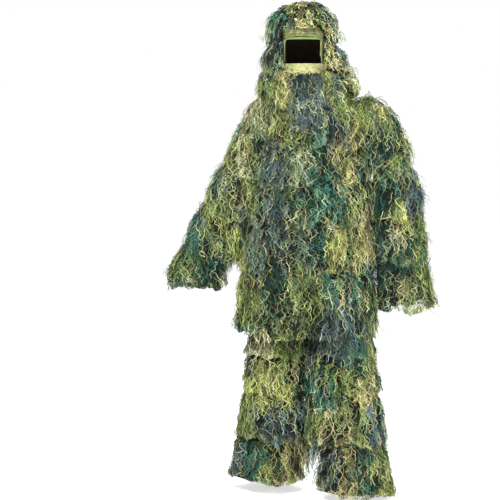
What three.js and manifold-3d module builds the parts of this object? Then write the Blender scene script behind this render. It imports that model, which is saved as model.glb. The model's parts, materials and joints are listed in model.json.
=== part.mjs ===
// Ghillie suit: a hooded jacket and trousers of thin camouflage cloth, each limb hung with
// overlapping tiers of loose thread fringe. Millimetres, +Z up, the front faces -Y, and the
// wearer's right side is -X. The floor is z = 0. Each tier of threads is one soft solid.
import * as THREE from 'three';
import { mergeVertices } from 'three/addons/utils/BufferGeometryUtils.js';
import Module from 'manifold-3d';

const wasm = await Module();
wasm.setup();

// ---- Driving dimensions ----
const CLOTH = 3; // thickness that stands for the carrier cloth and its seams
const TORSO_SIDES = 20;
const LIMB_SIDES = 14;

// A fringe tier, as offsets from the cloth's outer face.
const SKIN_GAP = 1.4; // tier to the cloth under it
const TIER_TOP = 8; // thickness where it is sewn on
const TIER_LAP = 16; // thickness where the tier above lets go of it
const TIER_FULL = 38; // thickness where it hangs full
const LAP = 36; // how far a tier hangs over the next one
const LAP_GAP = 2.5; // a hanging tier to the tier under it
const LAP_START = 4; // the next tier's sewn edge below the hollow that takes it
const LAP_STEP = 8; // length in which the hollow opens
const SWELL = 30; // length in which a tier swells below the lap
const TAPER = 14; // how much thinner its lower edge is
const LUMP = 0.16; // deepest dip between clumps, as a share of the thickness

// Jacket
const SHOULDER_Z = 1440;
const SHOULDER_HALF = 160.5; // shoulder points to the middle of the shoulders
const SHOULDER_MID_X = 54.5; // the wearer leans to the left
const JACKET_TOP_Z = 1500;
const HIP_Z = 905;
const JACKET_HEM_Z = 690;
const HEM_FRINGE_Z = 620;
const CAPE_END_Z = 1331;
const CHEST_END_Z = 1190;
const WAIST_END_Z = 1035;
const SKIRT_END_Z = 855;
const SEAM_GAP = 3; // between neighbouring cloth panels
const COLLAR_HEIGHT = 38;
const COLLAR_GAP = 6;

// Sleeves
const SLEEVE_RADIUS = 62;
const UPPER_ARM = 300;
const FOREARM = 312;
const SLEEVE_START = 45; // the sleeve's cloth begins this far below the shoulder point
const SHOULDER_CAP = 30; // the shoulder's fringe begins this far above the shoulder point
const ELBOW_GAP = 38; // bare length of gusset on each side of the elbow
const ELBOW_FRINGE_GAP = 65; // stiff tiers stop this far from the elbow
const ARM_CLEAR = 3; // jacket fringe and armhole to the sleeve
const PLANE_GAP = 1; // each side of the line where sleeve fringe meets jacket fringe
const GUSSET_IN = 4.5; // gusset's outer face inside the cloth's outer face
const GUSSET_CLOTH = 3.5;
const ELASTIC_IN = 4.2;
const ELASTIC_THICK = 2.8;
const ELASTIC_WIDTH = 20;

// Trousers
const HIP_HALF = 94; // hip points to the middle of the hips
const HIP_MID_X = 16;
const LEG_RADIUS = 84;
const KNEE_Z = 490;
const ANKLE_Z = 20;
const THIGH_START = 62; // thigh cloth begins this far below the hip point
const KNEE_GAP = 55;
const KNEE_FRINGE_TOP_Z = 596;
const KNEE_FRINGE_END_Z = 400;
const SHIN_FRINGE_END_Z = 217;
const SEAT_TOP_Z = 1060;
const SEAT_BOTTOM_Z = 925;
const SEAT_HALF_WIDTH = 182;
const SEAT_HALF_DEPTH = 110;
const HOLE_MARGIN = 3; // leg hole inside the leg's outer face

// Hood
const HOOD_X = 0;
const HOOD_Y = 8;
const HOOD_MID_Z = 1690;
const HOOD_BOTTOM_Z = 1548;
const HOOD_HALF_WIDTH = 118;
const HOOD_HALF_DEPTH = 132;
const HOOD_RISE = 132;
const HOOD_JAW_Z = 1610;
const HOOD_JAW_SHARE = 0.97; // the hood narrows towards the neck
const HOOD_NECK_SHARE = 0.9;
const CROWN_END_Z = 1738;
const UPPER_SIDE_END_Z = 1620;
const HOOD_FRINGE_END_Z = 1503;
const HOOD_DRAPE = 60; // thickness of the threads that drape from the hood to the shoulders
const FACE_LEFT_X = -67;
const FACE_RIGHT_X = 64;
const FACE_LOW_Z = 1627;
const FACE_HIGH_Z = 1721;
const BRIM_LOW_Z = 1737;
const BRIM_HIGH_Z = 1766;
const BINDING = 9; // width of the bias binding
const TRIM_THICK = 3;
const FLAP_LOW_Z = 1588;
const FLAP_HALF = 82;
const FLAP_OFFSET = 7;
const BIB_HALF = 52;
const BIB_END_Z = 1405;

const FAR = 900; // reaches past every piece, for cutting shapes

const COLOURS = {
  carrier_cloth: 0x5f6a48,
  hood_cloth: 0x4a5238,
  thread_fringe: 0x6f7f55,
  dark_fringe: 0x3f5a50,
  binding: 0x3f6a45,
  face_band: 0x98a070,
  elastic: 0x2b3026,
  snap_metal: 0x6d6a60,
  gusset: 0x39412f,
};

// ---- Solids ----

function signedVolume(points, faces) {
  let six = 0;
  for (const [a, b, c] of faces) {
    six += points[a].dot(new THREE.Vector3().crossVectors(points[b], points[c]));
  }
  return six / 6;
}

// A closed solid from points and triangles, turned to face out.
function closedSolid(points, faces) {
  const turned = signedVolume(points, faces) < 0;
  const ordered = faces.map(([a, b, c]) => (turned ? [a, c, b] : [a, b, c]));
  const mesh = new wasm.Mesh({
    numProp: 3,
    vertProperties: new Float32Array(points.flatMap((p) => [p.x, p.y, p.z])),
    triVerts: new Uint32Array(ordered.flat()),
  });
  return new wasm.Manifold(mesh);
}

// Joins rings of points in order: into a torus if closed, otherwise into a solid with flat ends.
function skinned(rings, closed) {
  const sides = rings[0].length;
  const points = rings.flat();
  const faces = [];
  const last = closed ? rings.length : rings.length - 1;
  for (let i = 0; i < last; i += 1) {
    const here = i * sides;
    const next = ((i + 1) % rings.length) * sides;
    for (let k = 0; k < sides; k += 1) {
      const m = (k + 1) % sides;
      faces.push([here + k, here + m, next + m]);
      faces.push([here + k, next + m, next + k]);
    }
  }
  if (!closed) {
    const end = (rings.length - 1) * sides;
    for (let k = 1; k < sides - 1; k += 1) {
      faces.push([0, k + 1, k]);
      faces.push([end, end + k, end + k + 1]);
    }
  }
  return closedSolid(points, faces);
}

function block(x0, x1, y0, y1, z0, z1) {
  const corner = (x, y, z) => new THREE.Vector3(x, y, z);
  const floor = (z) => [corner(x0, y0, z), corner(x1, y0, z), corner(x1, y1, z), corner(x0, y1, z)];
  return skinned([floor(z0), floor(z1)], false);
}

// A round disc with its axis along Y.
function discAlongY(x, y, z, radius, thick) {
  const ring = (at) => {
    const points = [];
    for (let k = 0; k < LIMB_SIDES; k += 1) {
      const angle = (2 * Math.PI * k) / LIMB_SIDES;
      points.push(new THREE.Vector3(x + radius * Math.cos(angle), at, z + radius * Math.sin(angle)));
    }
    return points;
  };
  return skinned([ring(y), ring(y + thick)], false);
}

// ---- Limbs: stacks of oval sections. t runs down the limb: minus the height on upright ones,
// the distance from the shoulder on arms. ----

function limbOf(stations, sides) {
  const mix = (from, to, share) => from.clone().lerp(to, share);
  function at(t) {
    if (t <= stations[0].t) return stations[0];
    for (let i = 1; i < stations.length; i += 1) {
      const low = stations[i - 1];
      const high = stations[i];
      if (t <= high.t) {
        const share = (t - low.t) / (high.t - low.t);
        return {
          c: mix(low.c, high.c, share),
          u: mix(low.u, high.u, share).normalize(),
          v: mix(low.v, high.v, share).normalize(),
          a: low.a + (high.a - low.a) * share,
          b: low.b + (high.b - low.b) * share,
        };
      }
    }
    return stations[stations.length - 1];
  }
  function ring(t, offset, lump = 0, phase = 0) {
    const s = at(t);
    const points = [];
    for (let k = 0; k < sides; k += 1) {
      const angle = (2 * Math.PI * k) / sides;
      const dip = lump * (0.5 + 0.5 * Math.sin(3 * angle + phase) * Math.sin(5 * angle + 2 * phase + t / 40));
      const grown = offset * (1 - dip);
      const point = s.c.clone();
      point.addScaledVector(s.u, (s.a + grown) * Math.cos(angle));
      point.addScaledVector(s.v, (s.b + grown) * Math.sin(angle));
      points.push(point);
    }
    return points;
  }
  // Adds the limb's own stations to a line of [t, offset] rows, so that layers stay parallel.
  function refined(rows) {
    const added = [];
    for (let i = 1; i < rows.length; i += 1) {
      const [t0, o0] = rows[i - 1];
      const [t1, o1] = rows[i];
      for (const { t } of stations) {
        if (t > t0 + 2 && t < t1 - 2) added.push([t, o0 + ((o1 - o0) * (t - t0)) / (t1 - t0)]);
      }
    }
    return [...rows, ...added].sort((p, q) => p[0] - q[0]);
  }
  function solid(t0, t1, offset) {
    return skinned(refined([[t0, offset], [t1, offset]]).map(([t, o]) => ring(t, o)), false);
  }
  // A ring between an inner and an outer line of [t, offset] rows.
  function band(inner, outer, lump = 0, phase = 0) {
    const start = outer[1][0];
    const outside = refined(outer).map(([t, o]) => ring(t, o, t > start ? lump : 0, phase));
    const inside = refined(inner).map(([t, o]) => ring(t, o));
    return skinned([...outside, ...inside.reverse()], true);
  }
  function tube(t0, t1, outer, inner) {
    return band([[t0, inner], [t1, inner]], [[t0, outer], [t1, outer]]);
  }
  // A fringe tier from its sewn edge to its hanging edge. If another tier follows, it is hollow
  // there. One with no tier above it may be full from the top.
  function tier(top, bottom, follows, phase, full = TIER_FULL, fullTop = false) {
    const outer = [
      [top, TIER_TOP],
      [top + LAP, fullTop ? 0.7 * full : TIER_LAP],
      [top + LAP + SWELL, 0.85 * full],
      [bottom - LAP, full],
      [bottom, full - TAPER],
    ];
    const hollow = TIER_LAP + LAP_GAP;
    const inner = follows
      ? [
        [top, SKIN_GAP],
        [bottom - LAP - LAP_STEP, SKIN_GAP],
        [bottom - LAP, hollow],
        [bottom, hollow],
      ]
      : [[top, SKIN_GAP], [bottom, SKIN_GAP]];
    return band(inner, outer, LUMP, phase);
  }
  return { start: stations[0].t, at, ring, solid, band, tube, tier };
}

const ALONG_X = new THREE.Vector3(1, 0, 0);
const ALONG_Y = new THREE.Vector3(0, 1, 0);

function uprightLimb(rows, sides) {
  const stations = rows.map(([z, x, y, a, b]) => ({
    t: -z, c: new THREE.Vector3(x, y, z), u: ALONG_X, v: ALONG_Y, a, b,
  }));
  return limbOf(stations, sides);
}

// Height, middle x, middle y, half width and half depth of the jacket's cloth.
const torso = uprightLimb([
  [JACKET_TOP_Z + COLLAR_GAP + COLLAR_HEIGHT, 10, 4, 74, 80],
  [JACKET_TOP_Z, 15, 2, 86, 86],
  [1470, 40, 0, 142, 102],
  [SHOULDER_Z, 52, 0, SHOULDER_HALF + 17.5, 116],
  [1380, 52, 0, SHOULDER_HALF + 30.5, 130],
  [1200, 38, 0, 189, 138],
  [1000, 24, 0, 206, 146],
  [HIP_Z, 21, 0, 214, 155],
  [JACKET_HEM_Z, 18, 0, 223, 168],
  [HEM_FRINGE_Z, 18, 0, 225, 171],
], TORSO_SIDES);

const hoodGrown = (grow) => {
  const row = (z, share) => [z, HOOD_X, HOOD_Y, (HOOD_HALF_WIDTH + grow) * share, (HOOD_HALF_DEPTH + grow) * share];
  const domeRows = [0.985, 0.93, 0.8, 0.6, 0.35].map((share) => (
    row(HOOD_MID_Z + (HOOD_RISE + grow) * share, Math.sqrt(1 - share * share))
  ));
  return uprightLimb([
    ...domeRows,
    row(HOOD_MID_Z, 1),
    row(HOOD_JAW_Z, HOOD_JAW_SHARE),
    row(HOOD_BOTTOM_Z, HOOD_NECK_SHARE),
    row(HOOD_FRINGE_END_Z, HOOD_NECK_SHARE),
  ], TORSO_SIDES);
};
const hood = hoodGrown(0);

// side is -1 for the wearer's right and +1 for the left.
const SIDES = {
  right: {
    side: -1, upperSlope: 26.5, lowerSlope: 26.5, partSlope: 14.4, fringeEnd: 726, kneeX: -90, kneeY: 10, ankleX: -140, ankleY: 50,
  },
  left: {
    side: 1, upperSlope: 25.7, lowerSlope: 7.4, partSlope: 6.9, fringeEnd: 770, kneeX: 160, kneeY: -50, ankleX: 198, ankleY: -125,
  },
};

const radians = (degrees) => (degrees * Math.PI) / 180;

function armLimb({ side, upperSlope, lowerSlope, fringeEnd }) {
  const down = (slope) => new THREE.Vector3(side * Math.sin(radians(slope)), 0, -Math.cos(radians(slope)));
  const out = (slope) => new THREE.Vector3(side * Math.cos(radians(slope)), 0, Math.sin(radians(slope)));
  const shoulder = new THREE.Vector3(SHOULDER_MID_X + side * SHOULDER_HALF, 0, SHOULDER_Z);
  const elbow = shoulder.clone().addScaledVector(down(upperSlope), UPPER_ARM);
  const station = (t, slope, from, along) => ({
    t, c: from.clone().addScaledVector(down(slope), along), u: out(slope), v: ALONG_Y, a: SLEEVE_RADIUS, b: SLEEVE_RADIUS,
  });
  return limbOf([
    station(-SLEEVE_START, upperSlope, shoulder, -SLEEVE_START),
    station(UPPER_ARM - ELBOW_GAP, upperSlope, elbow, -ELBOW_GAP),
    station(UPPER_ARM + ELBOW_GAP, lowerSlope, elbow, ELBOW_GAP),
    station(UPPER_ARM + FOREARM, lowerSlope, elbow, FOREARM),
    station(fringeEnd, lowerSlope, elbow, fringeEnd - UPPER_ARM),
  ], LIMB_SIDES);
}

function legLimb({ side, kneeX, kneeY, ankleX, ankleY }) {
  const hipX = HIP_MID_X + side * HIP_HALF;
  return uprightLimb([
    [HIP_Z + THIGH_START + SEAM_GAP, hipX, 0, LEG_RADIUS, LEG_RADIUS],
    [HIP_Z, hipX, 0, LEG_RADIUS, LEG_RADIUS],
    [KNEE_Z, kneeX, kneeY, LEG_RADIUS, LEG_RADIUS],
    [ANKLE_Z, ankleX, ankleY, LEG_RADIUS + 12, LEG_RADIUS + 12],
    [0, ankleX, ankleY, LEG_RADIUS + 12, LEG_RADIUS + 12],
  ], LIMB_SIDES);
}

// Everything on the arm's side of the line where sleeve fringe meets jacket fringe.
function armSide({ side, partSlope }, shift) {
  const x = SHOULDER_MID_X + side * (SHOULDER_HALF + shift);
  const low = JACKET_HEM_Z - 200;
  const drift = side * (SHOULDER_Z - low) * Math.tan(radians(partSlope));
  const line = [
    [x, SHOULDER_Z + FAR],
    [x, SHOULDER_Z],
    [x + drift, low],
    [side * FAR, low],
    [side * FAR, SHOULDER_Z + FAR],
  ];
  const face = (y) => line.map(([px, pz]) => new THREE.Vector3(px, y, pz));
  return skinned([face(-FAR), face(FAR)], false);
}

// ---- Nodes ----
const group = new THREE.Group();
group.name = 'ghillie_suit';

// Keeps the largest body of a cut solid: slivers cut loose at an edge fall away.
function largestBody(geometry) {
  const index = geometry.index.array;
  const parent = Array.from({ length: geometry.attributes.position.count }, (_, i) => i);
  const find = (i) => {
    let at = i;
    while (parent[at] !== at) {
      parent[at] = parent[parent[at]];
      at = parent[at];
    }
    return at;
  };
  for (let i = 0; i < index.length; i += 3) {
    parent[find(index[i])] = find(index[i + 1]);
    parent[find(index[i + 1])] = find(index[i + 2]);
  }
  const bodies = new Map();
  for (let i = 0; i < index.length; i += 3) {
    const root = find(index[i]);
    if (!bodies.has(root)) bodies.set(root, []);
    bodies.get(root).push([index[i], index[i + 1], index[i + 2]]);
  }
  const place = geometry.attributes.position;
  const points = [];
  for (let i = 0; i < place.count; i += 1) points.push(new THREE.Vector3().fromBufferAttribute(place, i));
  const ranked = [...bodies.values()].sort((a, b) => signedVolume(points, b) - signedVolume(points, a));
  geometry.setIndex(ranked[0].flat());
  return geometry;
}

function add(name, slot, solid) {
  const mesh = solid.getMesh();
  const places = [];
  for (let i = 0; i < mesh.vertProperties.length; i += mesh.numProp) {
    places.push(mesh.vertProperties[i], mesh.vertProperties[i + 1], mesh.vertProperties[i + 2]);
  }
  let geometry = new THREE.BufferGeometry();
  geometry.setAttribute('position', new THREE.Float32BufferAttribute(places, 3));
  geometry.setIndex([...mesh.triVerts]);
  geometry = largestBody(mergeVertices(geometry, 1e-3));
  geometry = geometry.toNonIndexed();
  geometry.computeVertexNormals();
  const node = new THREE.Mesh(geometry, new THREE.MeshStandardMaterial({ color: COLOURS[slot], roughness: 0.9 }));
  node.name = name;
  group.add(node);
}

const arms = Object.entries(SIDES).map(([name, sizes]) => ({ name, sizes, limb: armLimb(sizes) }));
const legs = Object.entries(SIDES).map(([name, sizes]) => ({ name, sizes, limb: legLimb(sizes) }));

// Jacket body: back and two fronts, open at the armholes.
const armholes = arms.map(({ limb }) => limb.solid(-SLEEVE_START / 2, UPPER_ARM + FOREARM, ARM_CLEAR));
const lessArmholes = (solid) => armholes.reduce((left, hole) => left.subtract(hole), solid);
const jacketRing = lessArmholes(torso.tube(-JACKET_TOP_Z, -HIP_Z, 0, -CLOTH));
const frontMidX = torso.at(-1200).c.x;
const halfGap = SEAM_GAP / 2;
add('jacket_back_panel', 'carrier_cloth', jacketRing.intersect(block(-FAR, FAR, halfGap, FAR, 0, 2 * FAR)));
add('jacket_front_right', 'carrier_cloth', jacketRing.intersect(block(-FAR, frontMidX - halfGap, -FAR, -halfGap, 0, 2 * FAR)));
add('jacket_front_left', 'carrier_cloth', jacketRing.intersect(block(frontMidX + halfGap, FAR, -FAR, -halfGap, 0, 2 * FAR)));
add('jacket_skirt', 'carrier_cloth', torso.tube(-HIP_Z + SEAM_GAP, -JACKET_HEM_Z, 0, -CLOTH));

const PLACKET_HALF = 18;
const PLACKET_TOP_Z = 1440;
const plackets = torso.tube(-PLACKET_TOP_Z, -HIP_Z, -CLOTH - SKIN_GAP, -2 * CLOTH - SKIN_GAP);
add('front_placket', 'binding', plackets.intersect(block(frontMidX - PLACKET_HALF, frontMidX + PLACKET_HALF, -FAR, 0, 0, 2 * FAR)));
const SNAP_RADIUS = 8;
const SNAP_THICK = 3;
for (const [name, z] of [['snap_upper', 1330], ['snap_lower', 1080]]) {
  const inside = 2 * CLOTH + SKIN_GAP + SNAP_THICK;
  add(name, 'snap_metal', discAlongY(frontMidX, -torso.at(-z).b + inside, z, SNAP_RADIUS, SNAP_THICK));
}
add('collar', 'binding', torso.tube(-JACKET_TOP_Z - COLLAR_GAP - COLLAR_HEIGHT, -JACKET_TOP_Z - COLLAR_GAP, 0, -CLOTH));

// Jacket fringe: cape, chest, waist, skirt and hem tiers, cut clear of the cloth and the sleeves.
const inJacket = torso.solid(-JACKET_TOP_Z, -JACKET_HEM_Z, SKIN_GAP / 2);
function jacketFringe(solid) {
  const clear = lessArmholes(solid).subtract(inJacket);
  return arms.reduce((left, { sizes }) => left.subtract(armSide(sizes, -PLANE_GAP)), clear);
}
const rearHalf = block(-FAR, FAR, halfGap, FAR, 0, 2 * FAR);
const frontHalf = block(-FAR, FAR, -FAR, -halfGap, 0, 2 * FAR);
const nextTop = (endZ) => -endZ - LAP + LAP_START;
const cape = jacketFringe(torso.tier(-JACKET_TOP_Z + LAP_START, -CAPE_END_Z, true, 0.4));
add('cape_fringe_front', 'thread_fringe', cape.intersect(frontHalf));
add('cape_fringe_back', 'thread_fringe', cape.intersect(rearHalf));
const chest = jacketFringe(torso.tier(nextTop(CAPE_END_Z), -CHEST_END_Z, true, 1.7));
add('chest_fringe_front', 'dark_fringe', chest.intersect(frontHalf));
add('chest_fringe_back', 'dark_fringe', chest.intersect(rearHalf));
add('waist_fringe', 'thread_fringe', jacketFringe(torso.tier(nextTop(CHEST_END_Z), -WAIST_END_Z, true, 2.9)));
add('skirt_fringe', 'dark_fringe', jacketFringe(torso.tier(nextTop(WAIST_END_Z), -SKIRT_END_Z, true, 4.2)));
add('hem_fringe', 'thread_fringe', jacketFringe(torso.tier(nextTop(SKIRT_END_Z), -HEM_FRINGE_Z, false, 5.1)));

// Trouser seat: a cup with two leg holes, and an elastic inside its top edge.
const seat = uprightLimb([
  [SEAT_TOP_Z + CLOTH, HIP_MID_X, 0, SEAT_HALF_WIDTH, SEAT_HALF_DEPTH],
  [SEAT_BOTTOM_Z, HIP_MID_X, 0, SEAT_HALF_WIDTH, SEAT_HALF_DEPTH],
], TORSO_SIDES);
const legHoles = legs.map(({ limb }) => limb.solid(-HIP_Z - THIGH_START - SEAM_GAP, -HIP_Z, -HOLE_MARGIN));
const cup = seat.solid(-SEAT_TOP_Z, -SEAT_BOTTOM_Z, 0).subtract(seat.solid(-SEAT_TOP_Z - CLOTH, -SEAT_BOTTOM_Z - CLOTH, -CLOTH));
add('trouser_seat', 'carrier_cloth', legHoles.reduce((left, hole) => left.subtract(hole), cup));
const waistTop = -SEAT_TOP_Z + CLOTH;
add('waistband_elastic', 'elastic', seat.tube(waistTop, waistTop + ELASTIC_WIDTH, -ELASTIC_IN, -ELASTIC_IN - ELASTIC_THICK));

// Hood: a dome with the face opening, its bindings and brim, and three tiers of fringe.
const domeTo = (grow, endZ) => {
  const shape = hoodGrown(grow);
  return shape.solid(shape.start, -endZ, 0);
};
const face = block(FACE_LEFT_X, FACE_RIGHT_X, -FAR, 0, FACE_LOW_Z, FACE_HIGH_Z);
const dome = domeTo(0, HOOD_BOTTOM_Z);
const inDome = domeTo(-CLOTH, HOOD_BOTTOM_Z);
const neckHole = hood.solid(-HOOD_BOTTOM_Z - CLOTH, -HOOD_BOTTOM_Z + CLOTH, -CLOTH);
add('hood_shell', 'hood_cloth', dome.subtract(inDome).subtract(neckHole).subtract(face));

const windowLeft = FACE_LEFT_X - BINDING - TRIM_THICK;
const windowRight = FACE_RIGHT_X + BINDING + TRIM_THICK;
const browGap = block(windowLeft, windowRight, -FAR, 0, 0, BRIM_HIGH_Z + TRIM_THICK);
const chinGap = block(-FLAP_HALF - BINDING, FLAP_HALF + BINDING, -FAR, 0, 0, FACE_LOW_Z + BINDING);
const crownOuter = domeTo(TIER_FULL, CROWN_END_Z);
const crownInner = domeTo(SKIN_GAP, CROWN_END_Z - CLOTH);
add('crown_fringe', 'thread_fringe', crownOuter.subtract(crownInner).subtract(browGap));
const upperSide = hood.tier(-CROWN_END_Z + LAP_START, -UPPER_SIDE_END_Z, true, 2.2);
add('hood_upper_fringe', 'dark_fringe', upperSide.subtract(browGap).subtract(chinGap));
const lowerSide = hood.tier(nextTop(UPPER_SIDE_END_Z), -HOOD_FRINGE_END_Z, false, 3.6, HOOD_DRAPE);
add('hood_lower_fringe', 'thread_fringe', lowerSide.subtract(browGap).subtract(chinGap));

const trimOuter = TRIM_THICK + SKIN_GAP;
const trimStrip = (top, bottom, x0, x1) => (
  hood.tube(-top, -bottom, trimOuter, SKIN_GAP).intersect(block(x0, x1, -FAR, 0, 0, 2 * FAR))
);
const brimLeft = windowLeft + TRIM_THICK;
const brimRight = windowRight - TRIM_THICK;
add('hood_brim', 'hood_cloth', trimStrip(BRIM_HIGH_Z, BRIM_LOW_Z, brimLeft, brimRight));
add('brim_binding', 'binding', trimStrip(BRIM_LOW_Z - 1, BRIM_LOW_Z - BINDING, brimLeft, brimRight));
const openingTop = FACE_HIGH_Z + BINDING / 2;
add('opening_binding', 'binding', trimStrip(openingTop, FACE_LOW_Z + BINDING, brimLeft, brimRight).subtract(face));

// Face flap: the chin band below the opening, with a snap and the bib of threads that hangs from it.
const flapTop = FACE_LOW_Z + TRIM_THICK;
const flapRing = hood.tube(-flapTop, -FLAP_LOW_Z, FLAP_OFFSET + TRIM_THICK, FLAP_OFFSET);
add('face_flap', 'face_band', flapRing.intersect(block(-FLAP_HALF, FLAP_HALF, -FAR, 0, 0, 2 * FAR)));
const snapZ = (flapTop + FLAP_LOW_Z) / 2;
const snapX = FLAP_HALF - 2 * SNAP_RADIUS;
const flapAt = hood.at(-snapZ);
const flapDepth = flapAt.b + FLAP_OFFSET + TRIM_THICK;
const flapWidth = flapAt.a + FLAP_OFFSET + TRIM_THICK;
const snapY = HOOD_Y - flapDepth * Math.sqrt(1 - ((snapX - SNAP_RADIUS) / flapWidth) ** 2) - 1;
add('flap_snap', 'snap_metal', discAlongY(snapX, snapY - SNAP_THICK, snapZ, SNAP_RADIUS, SNAP_THICK));
const bibTopY = HOOD_Y - flapDepth - 12;
const bib = uprightLimb([
  [FLAP_LOW_Z + 6, 3, bibTopY, BIB_HALF, 9],
  [JACKET_TOP_Z, 3, bibTopY - 10, BIB_HALF, 10],
  [SHOULDER_Z, 3, bibTopY - 28, BIB_HALF - 4, 11],
  [BIB_END_Z, 3, bibTopY - 42, BIB_HALF - 12, 10],
], LIMB_SIDES);
add('bib_fringe', 'dark_fringe', bib.solid(-FLAP_LOW_Z - 6, -BIB_END_Z, 0));

// Sleeves: cloth tubes with a gusset at each joint, tiers of fringe and a cuff elastic.
const gussetInner = -GUSSET_IN - GUSSET_CLOTH;
const gussetReach = 24;
for (const { name, sizes, limb } of arms) {
  const wrist = UPPER_ARM + FOREARM;
  const upperEnd = UPPER_ARM - ELBOW_GAP;
  const lowerStart = UPPER_ARM + ELBOW_GAP;
  const trim = (solid) => solid.intersect(armSide(sizes, PLANE_GAP)).subtract(inJacket);
  const after = (end) => end - LAP + LAP_START;
  const upperTierEnd = UPPER_ARM - ELBOW_FRINGE_GAP;
  const elbowTierEnd = UPPER_ARM + ELBOW_FRINGE_GAP + LAP - LAP_START;
  const lowerTierEnd = wrist - SLEEVE_START;
  add(`${name}_upper_sleeve`, 'carrier_cloth', limb.tube(SLEEVE_START, upperEnd, 0, -CLOTH).subtract(inJacket));
  add(`${name}_shoulder_gusset`, 'gusset', limb.tube(-SLEEVE_START / 3, SLEEVE_START + gussetReach, -GUSSET_IN, gussetInner));
  const upperTier = limb.tier(-SHOULDER_CAP, upperTierEnd, true, 0.9, TIER_FULL, true);
  add(`${name}_upper_fringe`, 'thread_fringe', trim(upperTier));
  add(`${name}_elbow_gusset`, 'gusset', limb.tube(upperEnd - gussetReach, lowerStart + gussetReach, -GUSSET_IN, gussetInner));
  add(`${name}_elbow_fringe`, 'dark_fringe', trim(limb.tier(after(upperTierEnd), elbowTierEnd, true, 2.3)));
  add(`${name}_lower_sleeve`, 'carrier_cloth', limb.tube(lowerStart, wrist, 0, -CLOTH));
  add(`${name}_lower_fringe`, 'thread_fringe', trim(limb.tier(after(elbowTierEnd), lowerTierEnd, true, 3.1)));
  add(`${name}_cuff_fringe`, 'dark_fringe', trim(limb.tier(after(lowerTierEnd), sizes.fringeEnd, false, 4.4)));
  const elasticEnd = wrist - LAP_START;
  add(`${name}_cuff_elastic`, 'elastic', limb.tube(elasticEnd - ELASTIC_WIDTH, elasticEnd, -ELASTIC_IN, -ELASTIC_IN - ELASTIC_THICK));
}

// Trouser legs: thigh and shin cloth, a gusset at each joint and tiers of fringe down to the floor.
for (const { name, limb } of legs) {
  const thighTop = -HIP_Z + THIGH_START;
  const kneeTop = -KNEE_Z - KNEE_GAP;
  const kneeEnd = -KNEE_Z + KNEE_GAP;
  add(`${name}_thigh`, 'carrier_cloth', limb.tube(thighTop, kneeTop, 0, -CLOTH));
  add(`${name}_hip_gusset`, 'gusset', limb.tube(-HIP_Z - THIGH_START, thighTop + gussetReach, -GUSSET_IN, gussetInner));
  add(`${name}_knee_gusset`, 'gusset', limb.tube(kneeTop - gussetReach, kneeEnd + gussetReach, -GUSSET_IN, gussetInner));
  add(`${name}_knee_fringe`, 'thread_fringe', limb.tier(-KNEE_FRINGE_TOP_Z, -KNEE_FRINGE_END_Z, true, 1.1));
  add(`${name}_shin`, 'carrier_cloth', limb.tube(kneeEnd, -ANKLE_Z, 0, -CLOTH));
  add(`${name}_shin_fringe`, 'dark_fringe', limb.tier(nextTop(KNEE_FRINGE_END_Z), -SHIN_FRINGE_END_Z, true, 2.6));
  add(`${name}_leg_cuff_fringe`, 'thread_fringe', limb.tier(nextTop(SHIN_FRINGE_END_Z), 0, false, 3.8));
}

export default group;
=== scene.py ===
"""A ghillie suit: thin camouflage cloth, hung with tiers of loose threads over the CAD frame."""
import json
import math
import random

import bmesh
import bpy
import numpy as np
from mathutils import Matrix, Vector
from mathutils.bvhtree import BVHTree


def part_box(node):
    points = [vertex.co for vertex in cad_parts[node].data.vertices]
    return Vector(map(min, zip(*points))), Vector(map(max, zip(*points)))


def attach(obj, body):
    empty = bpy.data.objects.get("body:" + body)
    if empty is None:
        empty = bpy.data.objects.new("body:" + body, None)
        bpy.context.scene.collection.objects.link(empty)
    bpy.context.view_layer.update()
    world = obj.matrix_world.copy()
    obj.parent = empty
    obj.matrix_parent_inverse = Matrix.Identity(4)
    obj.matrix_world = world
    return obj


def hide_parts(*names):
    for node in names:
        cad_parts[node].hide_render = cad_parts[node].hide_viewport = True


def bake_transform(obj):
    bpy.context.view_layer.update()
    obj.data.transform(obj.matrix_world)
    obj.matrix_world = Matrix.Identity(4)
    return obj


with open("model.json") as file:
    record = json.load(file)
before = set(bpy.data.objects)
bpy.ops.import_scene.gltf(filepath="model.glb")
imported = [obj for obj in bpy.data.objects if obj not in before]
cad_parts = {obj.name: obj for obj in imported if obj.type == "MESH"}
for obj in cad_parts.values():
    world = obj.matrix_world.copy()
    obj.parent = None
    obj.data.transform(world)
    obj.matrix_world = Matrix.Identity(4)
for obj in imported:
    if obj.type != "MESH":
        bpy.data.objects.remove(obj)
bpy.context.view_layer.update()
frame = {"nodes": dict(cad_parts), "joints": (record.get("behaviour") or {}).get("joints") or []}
NODES = frame["nodes"]
JOINTS = {joint["name"]: joint for joint in frame["joints"]}
SCENE = bpy.context.scene
DOWN = Vector((0, 0, -1))
TAU = 2 * math.pi


# ---------------------------------------------------------------- camera, light and floor

def look_at(place, target):
    return (Vector(target) - Vector(place)).to_track_quat("-Z", "Y").to_euler()


CAMERA_AT = (-0.199, -5.2, 1.2)
camera_data = bpy.data.cameras.new("camera")
camera_data.lens = 98.1
camera_data.sensor_width = 36
camera_data.clip_end = 100
camera = bpy.data.objects.new("camera", camera_data)
camera.location = CAMERA_AT
camera.rotation_euler = look_at(CAMERA_AT, (CAMERA_AT[0], 0, 0.929))
SCENE.collection.objects.link(camera)
SCENE.camera = camera


def area_light(name, place, target, size, watts):
    data = bpy.data.lights.new(name, "AREA")
    data.shape = "DISK"
    data.size = size
    data.energy = watts
    light = bpy.data.objects.new(name, data)
    light.location = place
    light.rotation_euler = look_at(place, target)
    SCENE.collection.objects.link(light)


area_light("key_light", (-1.6, -3.6, 4.2), (0, 0, 1.0), 0.8, 350)
area_light("fill_light", (3.0, -3.2, 2.2), (0, 0, 0.9), 2.4, 150)
area_light("back_light", (0.6, 3.4, 3.4), (0, 0, 1.1), 2.0, 140)

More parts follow.
